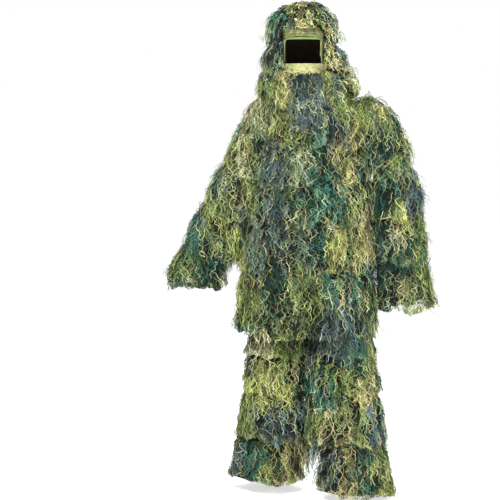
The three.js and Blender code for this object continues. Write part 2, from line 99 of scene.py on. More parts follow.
SCENE.view_settings.view_transform = "Standard"
world = bpy.data.worlds.new("studio")
world.use_nodes = True
background = world.node_tree.nodes["Background"]
background.inputs["Color"].default_value = (1.0, 1.0, 1.0, 1)
# The studio's white surround is seen at full strength, and lights the suit more softly.
ray = world.node_tree.nodes.new("ShaderNodeLightPath")
strength = world.node_tree.nodes.new("ShaderNodeMapRange")
strength.inputs["To Min"].default_value = 0.50
strength.inputs["To Max"].default_value = 1.0
world.node_tree.links.new(ray.outputs["Is Camera Ray"], strength.inputs["Value"])
world.node_tree.links.new(strength.outputs["Result"], background.inputs["Strength"])
SCENE.world = world


# ---------------------------------------------------------------- colours and materials

def linear(red, green, blue):
    """An sRGB colour, each part from 0 to 255, as the linear colour that a shader takes."""
    def one(value):
        value /= 255
        return value / 12.92 if value <= 0.04045 else ((value + 0.055) / 1.055) ** 2.4
    return (one(red), one(green), one(blue), 1.0)


# The colours of the threads, from 0 to 255. The last one is the mat of thread roots, painted dark as the
# shade deep among the threads.
THREAD_COLOURS = {
    "olive": (152, 168, 94),
    "moss": (98, 124, 66),
    "yellow": (188, 198, 112),
    "cream": (232, 222, 172),
    "tan": (202, 190, 132),
    "teal": (60, 120, 102),
    "deep": (34, 76, 68),
    "slate": (92, 112, 120),
    "pale": (156, 182, 152),
    "grey": (116, 136, 114),
    "green": (72, 110, 68),
    "dark": (40, 54, 38),
    "mat": (26, 34, 20),
}
COLOUR_NAMES = list(THREAD_COLOURS)


def node_material(name):
    material = bpy.data.materials.new(name)
    material.use_nodes = True
    tree = material.node_tree
    return material, tree, tree.nodes["Principled BSDF"]


def new_node(tree, kind, **values):
    """A shader node with its own settings, or the values of its inputs, by name."""
    node = tree.nodes.new(kind)
    for key, value in values.items():
        if hasattr(node, key):
            setattr(node, key, value)
        else:
            node.inputs[key].default_value = value
    return node


def ramp(tree, source, stops, constant=False):
    node = tree.nodes.new("ShaderNodeValToRGB")
    node.color_ramp.interpolation = "CONSTANT" if constant else "LINEAR"
    while len(node.color_ramp.elements) < len(stops):
        node.color_ramp.elements.new(0.5)
    for element, (place, colour) in zip(node.color_ramp.elements, stops):
        element.position = place
        element.color = colour
    tree.links.new(source, node.inputs["Fac"])
    return node.outputs["Color"]


def grey_ramp(tree, source, *stops):
    """A ramp of greys: each stop is its place and its brightness, or its red, green and blue."""
    colours = []
    for place, *parts in stops:
        colours.append((place, tuple(parts * 3 if len(parts) == 1 else parts) + (1,)))
    return ramp(tree, source, colours)


def bump(tree, shader, height, strength, distance):
    node = new_node(tree, "ShaderNodeBump", Strength=strength, Distance=distance)
    tree.links.new(height, node.inputs["Height"])
    tree.links.new(node.outputs["Normal"], shader.inputs["Normal"])


def object_place(tree):
    return new_node(tree, "ShaderNodeTexCoord").outputs["Object"]


def noise(tree, scale, detail=2.0, roughness=0.5, offset=(0, 0, 0), stretch=(1, 1, 1)):
    mapping = new_node(tree, "ShaderNodeMapping", Location=offset, Scale=stretch)
    tree.links.new(object_place(tree), mapping.inputs["Vector"])
    node = new_node(tree, "ShaderNodeTexNoise", Scale=scale, Detail=detail, Roughness=roughness)
    tree.links.new(mapping.outputs["Vector"], node.inputs["Vector"])
    return node.outputs["Fac"]


def ribs(tree, direction, pitch, **values):
    """Waves that are pitch apart, in metres."""
    wave = new_node(tree, "ShaderNodeTexWave", bands_direction=direction, Scale=0.314 / pitch, **values)
    tree.links.new(object_place(tree), wave.inputs["Vector"])
    return wave.outputs["Fac"]


def multiply(tree, first, second):
    node = new_node(tree, "ShaderNodeMix", data_type="RGBA", blend_type="MULTIPLY")
    node.inputs[0].default_value = 1.0
    tree.links.new(first, node.inputs[6])
    tree.links.new(second, node.inputs[7])
    return node.outputs[2]


def weave_height(tree, pitch):
    """Two crossed waves, which read as the over and under of plain woven cloth."""
    both = new_node(tree, "ShaderNodeMath", operation="MULTIPLY")
    for n, direction in enumerate("XZ"):
        tree.links.new(ribs(tree, direction, pitch, Distortion=0.6), both.inputs[n])
    return both.outputs[0]


def finish_material(tree, shader, colour, roughness, sheen=0.0):
    """Links a colour and a roughness to the shader."""
    tree.links.new(colour, shader.inputs["Base Color"])
    tree.links.new(roughness, shader.inputs["Roughness"])
    shader.inputs["Sheen Weight"].default_value = sheen


def camouflage(name, stops, scale=16, seed=0.0):
    """Printed cloth: patches of colour with hard edges, a plain weave with painted shade in its hollows, and
    wear in slow blotches.
    """
    material, tree, shader = node_material(name)
    print_noise = noise(tree, scale, 3, 0.55, (seed, 3.1, 7.7), (1, 1, 1.5))
    colour = ramp(tree, print_noise, [(place, linear(*rgb)) for place, rgb in stops], constant=True)
    height = weave_height(tree, 0.0014)
    # Painted shade: the colour is darker in the hollows of the weave and a little lighter on its tops.
    woven = multiply(tree, colour, grey_ramp(tree, height, (0.0, 0.62), (0.6, 1.05)))
    wear = noise(tree, 5, 4, 0.6, (seed, 0, 0))
    worn = multiply(tree, woven, grey_ramp(tree, wear, (0.3, 0.82, 0.82, 0.8), (0.7, 1.1, 1.1, 1.08)))
    finish_material(tree, shader, worn, grey_ramp(tree, wear, (0.3, 0.78), (0.7, 0.95)), 0.2)
    bump(tree, shader, height, 0.5, 0.0006)
    return material


def twill(name, colour, pitch=0.0016):
    """Woven tape: fine slanted ribs, with painted shade that makes the grooves a little darker, and slow
    fading along it.
    """
    material, tree, shader = node_material(name)
    height = ribs(tree, "DIAGONAL", pitch)
    faded = grey_ramp(tree, noise(tree, 30, 3, 0.6), (0.3, *[part * 0.7 for part in colour[:3]]),
                      (0.7, *[min(1, part * 1.25) for part in colour[:3]]))
    # Painted shade: darker in the grooves between the ribs, a little lighter on them.
    ribbed = multiply(tree, faded, grey_ramp(tree, height, (0.0, 0.55), (0.7, 1.1)))
    finish_material(tree, shader, ribbed, grey_ramp(tree, height, (0.0, 0.9), (1.0, 0.7)), 0.15)
    bump(tree, shader, height, 0.5, 0.0005)
    return material


def thread_material():
    """Twisted jute and yarn: each thread's own colour with its painted shade, both carried in Col, with fine
    fibre shade along it.
    """
    material, tree, shader = node_material("thread")
    own = new_node(tree, "ShaderNodeAttribute", attribute_name="Col").outputs["Color"]
    fibre = noise(tree, 420, 2, 0.6)
    shaded = multiply(tree, own, grey_ramp(tree, fibre, (0.25, 0.74, 0.74, 0.72), (0.75, 1.18, 1.18, 1.16)))
    finish_material(tree, shader, shaded, grey_ramp(tree, fibre, (0.2, 0.72), (0.8, 0.96)), 0.05)
    shader.inputs["Specular IOR Level"].default_value = 0.2
    bump(tree, shader, fibre, 0.6, 0.0008)
    return material


def lining_material():
    """The near black mesh inside the hood."""
    material, tree, shader = node_material("hood_lining")
    height = weave_height(tree, 0.003)
    # Painted shade: the mesh is darker in the hollows of its weave and lighter on its threads.
    colour = ramp(tree, height, [(0.0, linear(74, 66, 52)), (1.0, linear(112, 100, 80))])
    tree.links.new(colour, shader.inputs["Base Color"])
    shader.inputs["Roughness"].default_value = 0.95
    shader.inputs["Specular IOR Level"].default_value = 0.1
    bump(tree, shader, height, 0.5, 0.0008)
    return material


def metal_material():
    """Olive enamel on a brass snap, rubbed thin in places."""
    material, tree, shader = node_material("snap")
    rub = noise(tree, 260, 4, 0.6)
    colour = ramp(tree, rub, [(0.35, linear(92, 96, 60)), (0.7, linear(138, 140, 98))])
    finish_material(tree, shader, colour, grey_ramp(tree, rub, (0.3, 0.55), (0.7, 0.3)))
    shader.inputs["Metallic"].default_value = 0.45
    bump(tree, shader, rub, 0.2, 0.0003)
    return material


CARRIER = camouflage("carrier_camouflage", [
    (0.0, (46, 54, 34)), (0.42, (96, 104, 60)), (0.52, (120, 122, 80)), (0.62, (74, 66, 44)),
], seed=1.0)
HOOD_CLOTH = camouflage("hood_camouflage", [
    (0.0, (96, 102, 58)), (0.42, (146, 144, 90)), (0.54, (184, 178, 130)), (0.66, (106, 100, 62)),
], scale=34, seed=4.0)
BAND_CLOTH = camouflage("band_camouflage", [
    (0.0, (120, 130, 74)), (0.40, (162, 168, 104)), (0.52, (190, 186, 132)), (0.64, (146, 138, 90)),
], scale=44, seed=9.0)
BINDING = twill("green_binding", linear(106, 124, 64))
PLACKET = twill("placket_tape", linear(84, 92, 52))
STITCH = twill("stitching", linear(206, 206, 160), pitch=0.0009)
ELASTIC = twill("elastic_tape", linear(58, 62, 46), pitch=0.002)
LINING = lining_material()
METAL = metal_material()
THREAD = thread_material()

FLOOR, floor_tree, floor_shader = node_material("pale_floor")
floor_colour = grey_ramp(floor_tree, noise(floor_tree, 2.0, 3, 0.5), (0.0, 0.86), (1.0, 0.9))
floor_tree.links.new(floor_colour, floor_shader.inputs["Base Color"])
floor_shader.inputs["Roughness"].default_value = 0.9
# A translucent studio floor, lit a little from below, so that it stays pale out to the horizon.
floor_shader.inputs["Emission Color"].default_value = (1, 1, 1, 1)
floor_shader.inputs["Emission Strength"].default_value = 0.60


# ---------------------------------------------------------------- meshes

def make_object(name, vertices, faces, material):
    mesh = bpy.data.meshes.new(name)
    mesh.from_pydata([tuple(v) for v in vertices], [], faces)
    mesh.materials.append(material)
    mesh.validate()
    for polygon in mesh.polygons:
        polygon.use_smooth = True
    piece = bpy.data.objects.new(name, mesh)
    SCENE.collection.objects.link(piece)
    return piece


def ring_turns(sides):
    return [TAU * s / sides for s in range(sides)]


def shares(count):
    """Values from 0 to 1, in count even steps."""
    return [n / count for n in range(count + 1)]


def net_faces(rows, columns, closed, start=0):
    """Faces of four corners between the rows of a net of vertices, which are numbered from start."""
    faces = []
    for i in range(rows - 1):
        for j in range(columns if closed else columns - 1):
            k = (j + 1) % columns
            upper, lower = start + i * columns, start + (i + 1) * columns
            faces.append((upper + j, upper + k, lower + k, lower + j))
    return faces


def tube_faces(rows, sides, start=0):
    """The faces of a tube of rings, with a face over each end."""
    last = start + (rows - 1) * sides
    caps = [tuple(reversed(range(start, start + sides))), tuple(range(last, last + sides))]
    return net_faces(rows, sides, True, start) + caps


def grid(name, rows, material, closed=False, keep=None):
    """A sheet through rows of points. keep(point) says which faces stay."""
    vertices = [point for row in rows for point in row]
    faces = net_faces(len(rows), len(rows[0]), closed)
    if keep:
        faces = [face for face in faces if keep(sum((Vector(vertices[v]) for v in face), Vector()) / 4)]
    used = sorted({v for face in faces for v in face})
    number = {v: n for n, v in enumerate(used)}
    faces = [tuple(number[v] for v in face) for face in faces]
    return make_object(name, [vertices[v] for v in used], faces, material)


def thicken(piece, thickness, inner=None, inside=None):
    """Gives a sheet its thickness, inwards. inside is a place on its inner side."""
    mesh = piece.data
    if inside is None:
        inside = sum((v.co for v in mesh.vertices), Vector()) / len(mesh.vertices)
    facing = sum(p.area * p.normal.dot((p.center - Vector(inside)).normalized()) for p in mesh.polygons)
    if facing < 0:
        mesh.flip_normals()
    modifier = piece.modifiers.new("cloth", "SOLIDIFY")
    modifier.thickness = thickness
    modifier.offset = -1
    if inner is not None:
        piece.data.materials.append(inner)
        modifier.material_offset = 1
    return piece


def strip(name, points, normals, width, thickness, material, sides=8):
    """A flat band along points: a flattened tube, width across and thickness through."""
    vertices = []
    for i, point in enumerate(points):
        before, after = points[max(0, i - 1)], points[min(len(points) - 1, i + 1)]
        along = (Vector(after) - Vector(before)).normalized()
        out = Vector(normals[i]).normalized()
        across = along.cross(out).normalized() * (width / 2)
        for turn in ring_turns(sides):
            vertices.append(Vector(point) + across * math.cos(turn) + out * (thickness / 2 * math.sin(turn)))
    return make_object(name, vertices, tube_faces(len(points), sides), material)


# ---------------------------------------------------------------- the suit's own shapes, as in the CAD

# The jacket's cloth: height, centre x, half width, half depth.
TORSO = [
    (1.500, 0.015, 0.086, 0.086), (1.470, 0.040, 0.142, 0.102), (1.440, 0.052, 0.178, 0.116),
    (1.380, 0.052, 0.191, 0.130), (1.200, 0.038, 0.189, 0.138), (1.000, 0.024, 0.206, 0.146),
    (0.905, 0.021, 0.214, 0.155), (0.690, 0.018, 0.223, 0.168),
]
SLEEVE_RADIUS = 0.060
LEG_RADIUS = 0.082
HOOD_HALF_WIDTH = 0.117
HOOD_HALF_DEPTH = 0.131
HOOD_CENTRE_Y = 0.008
HOOD_MID_Z = 1.690
HOOD_RISE = 0.131
FACE_LEFT_X = 0.064
FACE_RIGHT_X = -0.067
FACE_LOW_Z = 1.627
FACE_HIGH_Z = 1.721


def between(table, height):
    """The row of a table of stations at a height, in a straight line between its neighbours."""
    for upper, lower in zip(table, table[1:]):
        if upper[0] >= height >= lower[0]:
            share = (upper[0] - height) / (upper[0] - lower[0])
            return [a + (b - a) * share for a, b in zip(upper, lower)]
    return list(table[0] if height > table[0][0] else table[-1])


def torso_point(height, turn, grow=0.0):
    """turn runs from the wearer's left side, through the back, to the right side and the front."""
    _, centre, width, depth = between(TORSO, height)
    return Vector((centre + (width + grow) * math.cos(turn), (depth + grow) * math.sin(turn), height))


def joint_place(name):
    return Vector(JOINTS[name]["pos_m"])


def arm_axis(side):
    shoulder, elbow = joint_place(side + "_shoulder"), joint_place(side + "_elbow")
    axis = Vector(JOINTS[side + "_elbow"]["axis"])
    fore = Vector((-axis.z, 0, axis.x)).normalized()
    if fore.z > 0:
        fore = -fore
    return shoulder, elbow, (elbow - shoulder).normalized(), fore


def leg_axis(side):
    hip, knee = joint_place(side + "_hip"), joint_place(side + "_knee")
    low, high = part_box(side + "_shin")
    foot = Vector(((low.x + high.x) / 2, (low.y + high.y) / 2, 0))
    return hip, knee, foot


def wrinkle(turn, along, size, seed):
    """Slow folds round a tube of cloth."""
    return size * (
        0.5 * math.sin(3 * turn + 21 * along + seed)
        + 0.3 * math.sin(5 * turn - 46 * along + 2 * seed)
        + 0.2 * math.sin(2 * turn + 88 * along + 3 * seed)
    )


def ring_about(centre, direction, sides, reach_at):
    """A ring of points round a centre, across a direction. reach_at(turn) is its radius there."""
    first = Vector((0, 1, 0)).cross(direction).normalized()
    second = direction.cross(first).normalized()
    return [centre + first * (reach_at(turn) * math.cos(turn)) + second * (reach_at(turn) * math.sin(turn))
            for turn in ring_turns(sides)]


def keep_piece(piece, nodes, body=None):
    """Hides the CAD nodes that a piece replaces, and hangs the piece on the body that it rides, if only one.
    """
    if nodes:
        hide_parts(*nodes)
    if body:
        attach(piece, body)


# ---------------------------------------------------------------- threads

# Where the colours lie on the front of the suit: colour, x, height, half width and half height, in mm.
PATCH_TEXT = {
    "the hood": """
        tan 5 1815 50 50, olive 40 1800 35 40, olive -45 1830 30 30, teal -85 1790 30 40,
        pale -130 1765 22 30, teal 75 1810 30 40, slate 95 1830 30 25, slate -120 1715 40 45,
        slate -70 1745 30 18, moss -100 1665 30 30, pale -105 1630 35 50, slate -150 1600 20 40,
        tan 98 1690 18 70, pale 122 1690 18 60, slate 145 1650 22 45, cream 110 1605 30 35,
        olive 165 1610 40 30, deep 120 1580 50 15, yellow 78 1600 18 60, tan -55 1560 22 45,
        olive -110 1560 50 30""",
    "the shoulders": """
        cream -165 1500 30 25, deep -130 1480 20 50, teal -205 1430 40 60, cream 190 1560 50 16,
        slate 290 1510 45 35, deep 345 1420 40 70, olive 185 1490 60 40, tan 240 1520 22 18,
        tan 290 1440 35 40, tan 215 1395 50 45, yellow 270 1400 30 30, slate 60 1480 60 60""",
    "the chest": """
        slate 20 1470 45 95, yellow -60 1420 55 55, olive -110 1380 55 45, tan -10 1370 50 25,
        olive -20 1330 40 45, cream -235 1265 18 90, grey -150 1310 40 80, olive -195 1230 20 130,
        slate 130 1400 55 40, grey 90 1400 30 40""",
    "the middle of the jacket": """
        slate -105 1180 45 140, slate -75 1090 40 110, yellow -70 1130 14 70, pale -25 1270 40 85,
        cream 0 1270 14 60, teal 80 1270 40 85, teal 95 1160 60 60, tan 148 1250 36 115,
        dark 190 1250 12 80, moss 210 1270 20 60, grey 225 1180 28 80, deep 280 1270 35 80,
        deep 290 1120 28 110, moss -40 1130 30 80, teal 0 1100 50 60, olive 215 1100 50 30,
        cream 230 1080 30 14, deep 110 1050 80 20""",
    "the skirt of the jacket": """
        grey -175 1000 40 90, slate -110 960 35 110, yellow -230 815 22 85, deep -105 810 40 80,
        grey -20 960 50 90, teal 55 980 30 90, yellow 150 960 55 85, tan 190 930 60 80,
        cream 160 920 20 40, teal 170 810 90 45, olive 10 770 55 80, grey 30 820 40 50,
        dark -90 680 100 35, moss 30 670 45 40, slate 150 680 70 45, olive -190 720 30 50,
        moss 250 720 30 60""",
    "the wearer's right sleeve": """
        olive -290 1290 30 70, pale -320 1180 45 75, slate -390 1070 35 70, teal -420 960 40 60,
        olive -345 1060 35 80, grey -370 930 30 70, olive -300 1020 30 90, moss -430 890 50 40,
        tan -385 1130 18 60, deep -350 870 40 50, olive -450 1000 20 60""",
    "the wearer's left sleeve": """
        olive 350 1290 35 70, tan 330 1330 35 30, slate 415 1140 30 110, grey 385 1150 25 90,
        cream 360 980 30 60, yellow 375 1040 25 40, moss 440 880 40 120, olive 455 960 20 70,
        deep 330 860 50 120, teal 390 840 30 70, tan 380 740 14 60, olive 420 750 30 60""",
    "the trousers, from the top tier down": """
        teal -210 560 20 60, cream -145 560 30 55, olive -65 560 45 55, slate 70 550 75 55,
        teal 185 550 30 55, olive 230 550 24 50, tan 270 540 16 50, yellow -125 410 80 60,
        dark -3 410 35 60, teal 73 400 45 60, olive 150 400 35 60, tan 222 400 45 55,
        deep 290 400 22 60, olive -215 270 30 60, slate -112 270 60 60, olive 53 270 28 60,
        tan 138 265 36 60, olive 205 270 30 55, slate 265 270 35 60, slate -235 130 35 60,
        teal -190 120 30 70, olive -130 120 30 70, tan -60 120 30 60, slate 85 120 35 80,
        tan 150 110 26 70, teal 215 120 40 80, olive 285 100 35 80""",
}
PATCHES = []
for region in PATCH_TEXT.values():
    for patch in region.split(","):
        colour, *sizes = patch.split()
        PATCHES.append((colour, *[int(size) / 1000 for size in sizes]))
STRAYS = ["cream", "tan", "olive", "olive", "pale", "moss", "green", "green", "teal", "grey", "dark", "deep"]
NEIGHBOURS = {
    "olive": ["yellow", "moss", "green"],
    "moss": ["olive", "green", "deep"],
    "yellow": ["olive", "tan", "cream"],
    "cream": ["tan", "cream", "pale"],
    "tan": ["cream", "olive", "yellow"],
    "teal": ["deep", "green", "pale"],
    "deep": ["teal", "dark", "green"],
    "slate": ["grey", "deep", "pale"],
    "pale": ["grey", "cream", "olive"],
    "grey": ["slate", "pale", "moss"],
    "dark": ["deep", "green", "moss"],
}


def colour_at(place, chance):
    """The colour of a clump that hangs at place: the strongest patch there."""
    x, z = place.x, place.z
    if place.y > 0.03:
        # The back wears the front's colours, mirrored and shifted, as no photograph shows it.
        x, z = 0.05 - x, z + 0.06 * math.sin(14 * x)
    best, best_score = "olive", -1e9
    for colour, centre_x, centre_z, half_x, half_z in PATCHES:
        score = -((x - centre_x) / half_x) ** 2 - ((z - centre_z) / half_z) ** 2 + chance.gauss(0, 0.35)
        if score > best_score:
            best, best_score = colour, score
    return best


def shaped(name, place):
    """A tier's CAD point, drawn in where the suit hangs closer than the CAD: high on the hood's sides."""
    if "hood" not in name and name != "crown_fringe":
        return place
    height = math.exp(-((place.z - 1.738) / 0.042) ** 2)
    side = min(1.0, max(0.0, (abs(place.x) - 0.080) / 0.045))
    return Vector((place.x - math.copysign(0.030 * height * side, place.x), place.y, place.z))


FACING = 0.15  # how squarely a face looks outwards, at the least, to carry threads


def skin_of(names):
    """A search tree of the outward faces of the threads' CAD tiers, which the threads lie on."""
    vertices, faces = [], []
    for name in names:
        mesh = NODES[name].data
        start = len(vertices)
        axis = AXIS_OF[name]
        vertices += [shaped(name, v.co.copy()) for v in mesh.vertices]
        for polygon in mesh.polygons:
            if polygon.normal.dot(away_from(axis, polygon.center)) > FACING:
                faces.append([start + v for v in polygon.vertices])
    return BVHTree.FromPolygons(vertices, faces)


def away_from(axis, place):
    """The direction out from the nearest point of an axis, which is a list of points."""
    best, best_distance = None, 1e9
    for a, b in zip(axis, axis[1:]):
        along = b - a
        share = max(0.0, min(1.0, (place - a).dot(along) / along.length_squared))
        near = a + along * share
        distance = (place - near).length
        if distance < best_distance:
            best, best_distance = near, distance
    out = place - best
    return out.normalized() if out.length > 1e-6 else Vector((0, -1, 0))


AXIS_OF = {}
TORSO_AXIS = [Vector((row[1], 0, row[0])) for row in TORSO] + [Vector((0.018, 0, 0.6))]
for name in ("cape_fringe_front", "cape_fringe_back", "chest_fringe_front", "chest_fringe_back",
             "waist_fringe", "skirt_fringe", "hem_fringe"):
    AXIS_OF[name] = TORSO_AXIS
HOOD_AXIS = [Vector((0, HOOD_CENTRE_Y, 1.70)), Vector((0, HOOD_CENTRE_Y, 1.45))]
for name in ("crown_fringe", "hood_upper_fringe", "hood_lower_fringe"):
    AXIS_OF[name] = HOOD_AXIS
AXIS_OF["bib_fringe"] = [Vector((0.003, 0.1, 1.62)), Vector((0.003, 0.1, 1.38))]
for side in ("right", "left"):
    shoulder, elbow, upper, fore = arm_axis(side)
    for name in ("upper_fringe", "elbow_fringe", "lower_fringe", "cuff_fringe"):
        AXIS_OF[f"{side}_{name}"] = [shoulder, elbow, elbow + fore * 0.5]
    hip, knee, foot = leg_axis(side)
    for name in ("knee_fringe", "shin_fringe", "leg_cuff_fringe"):
        AXIS_OF[f"{side}_{name}"] = [hip, knee, foot]

# What the threads lie on: SKIN for most, BIB_SKIN with the bib too, and LEG_SKIN for the thighs.
SKIN = skin_of([name for name in AXIS_OF if name != "bib_fringe"])
BIB_SKIN = skin_of(list(AXIS_OF))
for side in ("right", "left"):
    AXIS_OF[side + "_thigh"] = AXIS_OF[side + "_knee_fringe"]
LEG_SKIN = skin_of([name for name in AXIS_OF if "knee" in name or "shin" in name or "thigh" in name])

STEPS = 10  # lengths of line in a thread
HEM_CLEAR = 0.012  # no thread is sewn on lower than this above its tier's hem
THREAD_RADIUS = 0.00118
# How far a thread may stand out of the suit, to each side, to the front, to the back and down.
X_REACH, FRONT_REACH, BACK_REACH, FLOOR_REACH = 0.531, -0.267, 0.223, 0.0036


def chin_arch(x):
    """How far the chin band's lower edge is arched up at x."""
    return 0.013 * max(0.0, 1 - ((x / 0.082 - 0.15) / 0.55) ** 2)


def in_face(place):
    """Whether a place is in front of the face opening, its brim or its chin band, where no thread hangs."""
    low = 1.590 + chin_arch(place.x)
    right_x, left_x = (-0.066, 0.062) if place.z < 1.632 else (-0.075, 0.073)
    return place.y < -0.03 and low < place.z < 1.750 and right_x < place.x < left_x


def roots_on(name, count, chance, top_share, bottom_share):
    """Places on the outward faces of a tier, spread by area, in its upper part."""
    mesh = NODES[name].data
    mesh.calc_loop_triangles()
    low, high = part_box(name)
    top = high.z - (high.z - low.z) * top_share
    bottom = high.z - (high.z - low.z) * bottom_share
    triangles, areas = [], []
    for triangle in mesh.loop_triangles:
        if triangle.normal.dot(away_from(AXIS_OF[name], triangle.center)) > FACING:
            triangles.append([mesh.vertices[v].co for v in triangle.vertices])
            areas.append(triangle.area)
    total, running = sum(areas), []
    for area in areas:
        running.append((running[-1] if running else 0.0) + area)
    places = []
    for _ in range(count * 4):
        a, b, c = chance.choices(triangles, cum_weights=running)[0]
        u, v = chance.random(), chance.random()
        if u + v > 1:
            u, v = 1 - u, 1 - v
        place = a + (b - a) * u + (c - a) * v
        if bottom <= place.z <= top and not in_face(place):
            places.append(place)
        if len(places) == count:
            break
    return places, total


def grow(start, direction, length, lift, curl, chance, skin, hem, fall=0.40, rise=0.0):
    """One thread: it leaves the cloth, falls under its own weight in curls, and lies on the threads under it.
    hem(place) is the height that its tier ends at, where it turns back into the tier."""
    place = start + Vector((0, 0, rise))
    points = [place]
    heading = direction.copy()
    step = length / STEPS
    phase_a, phase_b = chance.random() * TAU, chance.random() * TAU
    rate_a, rate_b = chance.uniform(0.8, 2.3), chance.uniform(0.7, 1.9)
    for n in range(STEPS):
        _, normal, _, _ = skin.find_nearest(place)
        side = normal.cross(DOWN)
        if side.length < 1e-4:
            side = Vector((1, 0, 0))
        side.normalize()
        sway = side * (curl * math.sin(phase_a + rate_a * n))
        sway = sway + normal * (0.30 * curl * math.sin(phase_b + rate_b * n))
        jolt = side * chance.gauss(0, 0.42) + normal * chance.gauss(0, 0.10)
        heading = (heading * 0.48 + DOWN * fall + sway + jolt).normalized()
        before = place
        place = place + heading * step
        near, normal, _, _ = skin.find_nearest(place)
        above = (place - near).dot(normal)
        if above < lift:
            place = place + normal * min(lift - above, 0.02)
        if in_face(place):
            out = Vector((before.x, 0, before.z - 1.68)).normalized()
            place = before + out * (step * chance.uniform(0.1, 0.6))
            place = place + Vector((0, chance.uniform(-0.3, 0.1) * step, 0))
            heading = (heading + out * 1.5).normalized()
        edge = hem(place)
        if place.z < edge:
            place.z = edge + chance.random() * 0.026
            heading = (side * chance.choice((-0.9, 0.9)) + Vector((0, 0, 0.25)) - normal * 0.3).normalized()
        place = Vector((min(X_REACH, max(-X_REACH, place.x)), min(BACK_REACH, max(FRONT_REACH, place.y)),
                        max(FLOOR_REACH, place.z)))
        points.append(place)
    return points


def strength_of(level):
    """How bright a thread's colour is at a level from 0 to 1."""
    return 0.035 + 2.0 * level ** 1.65


def unit_rows(vectors):
    return vectors / (np.linalg.norm(vectors, axis=2, keepdims=True) + 1e-9)


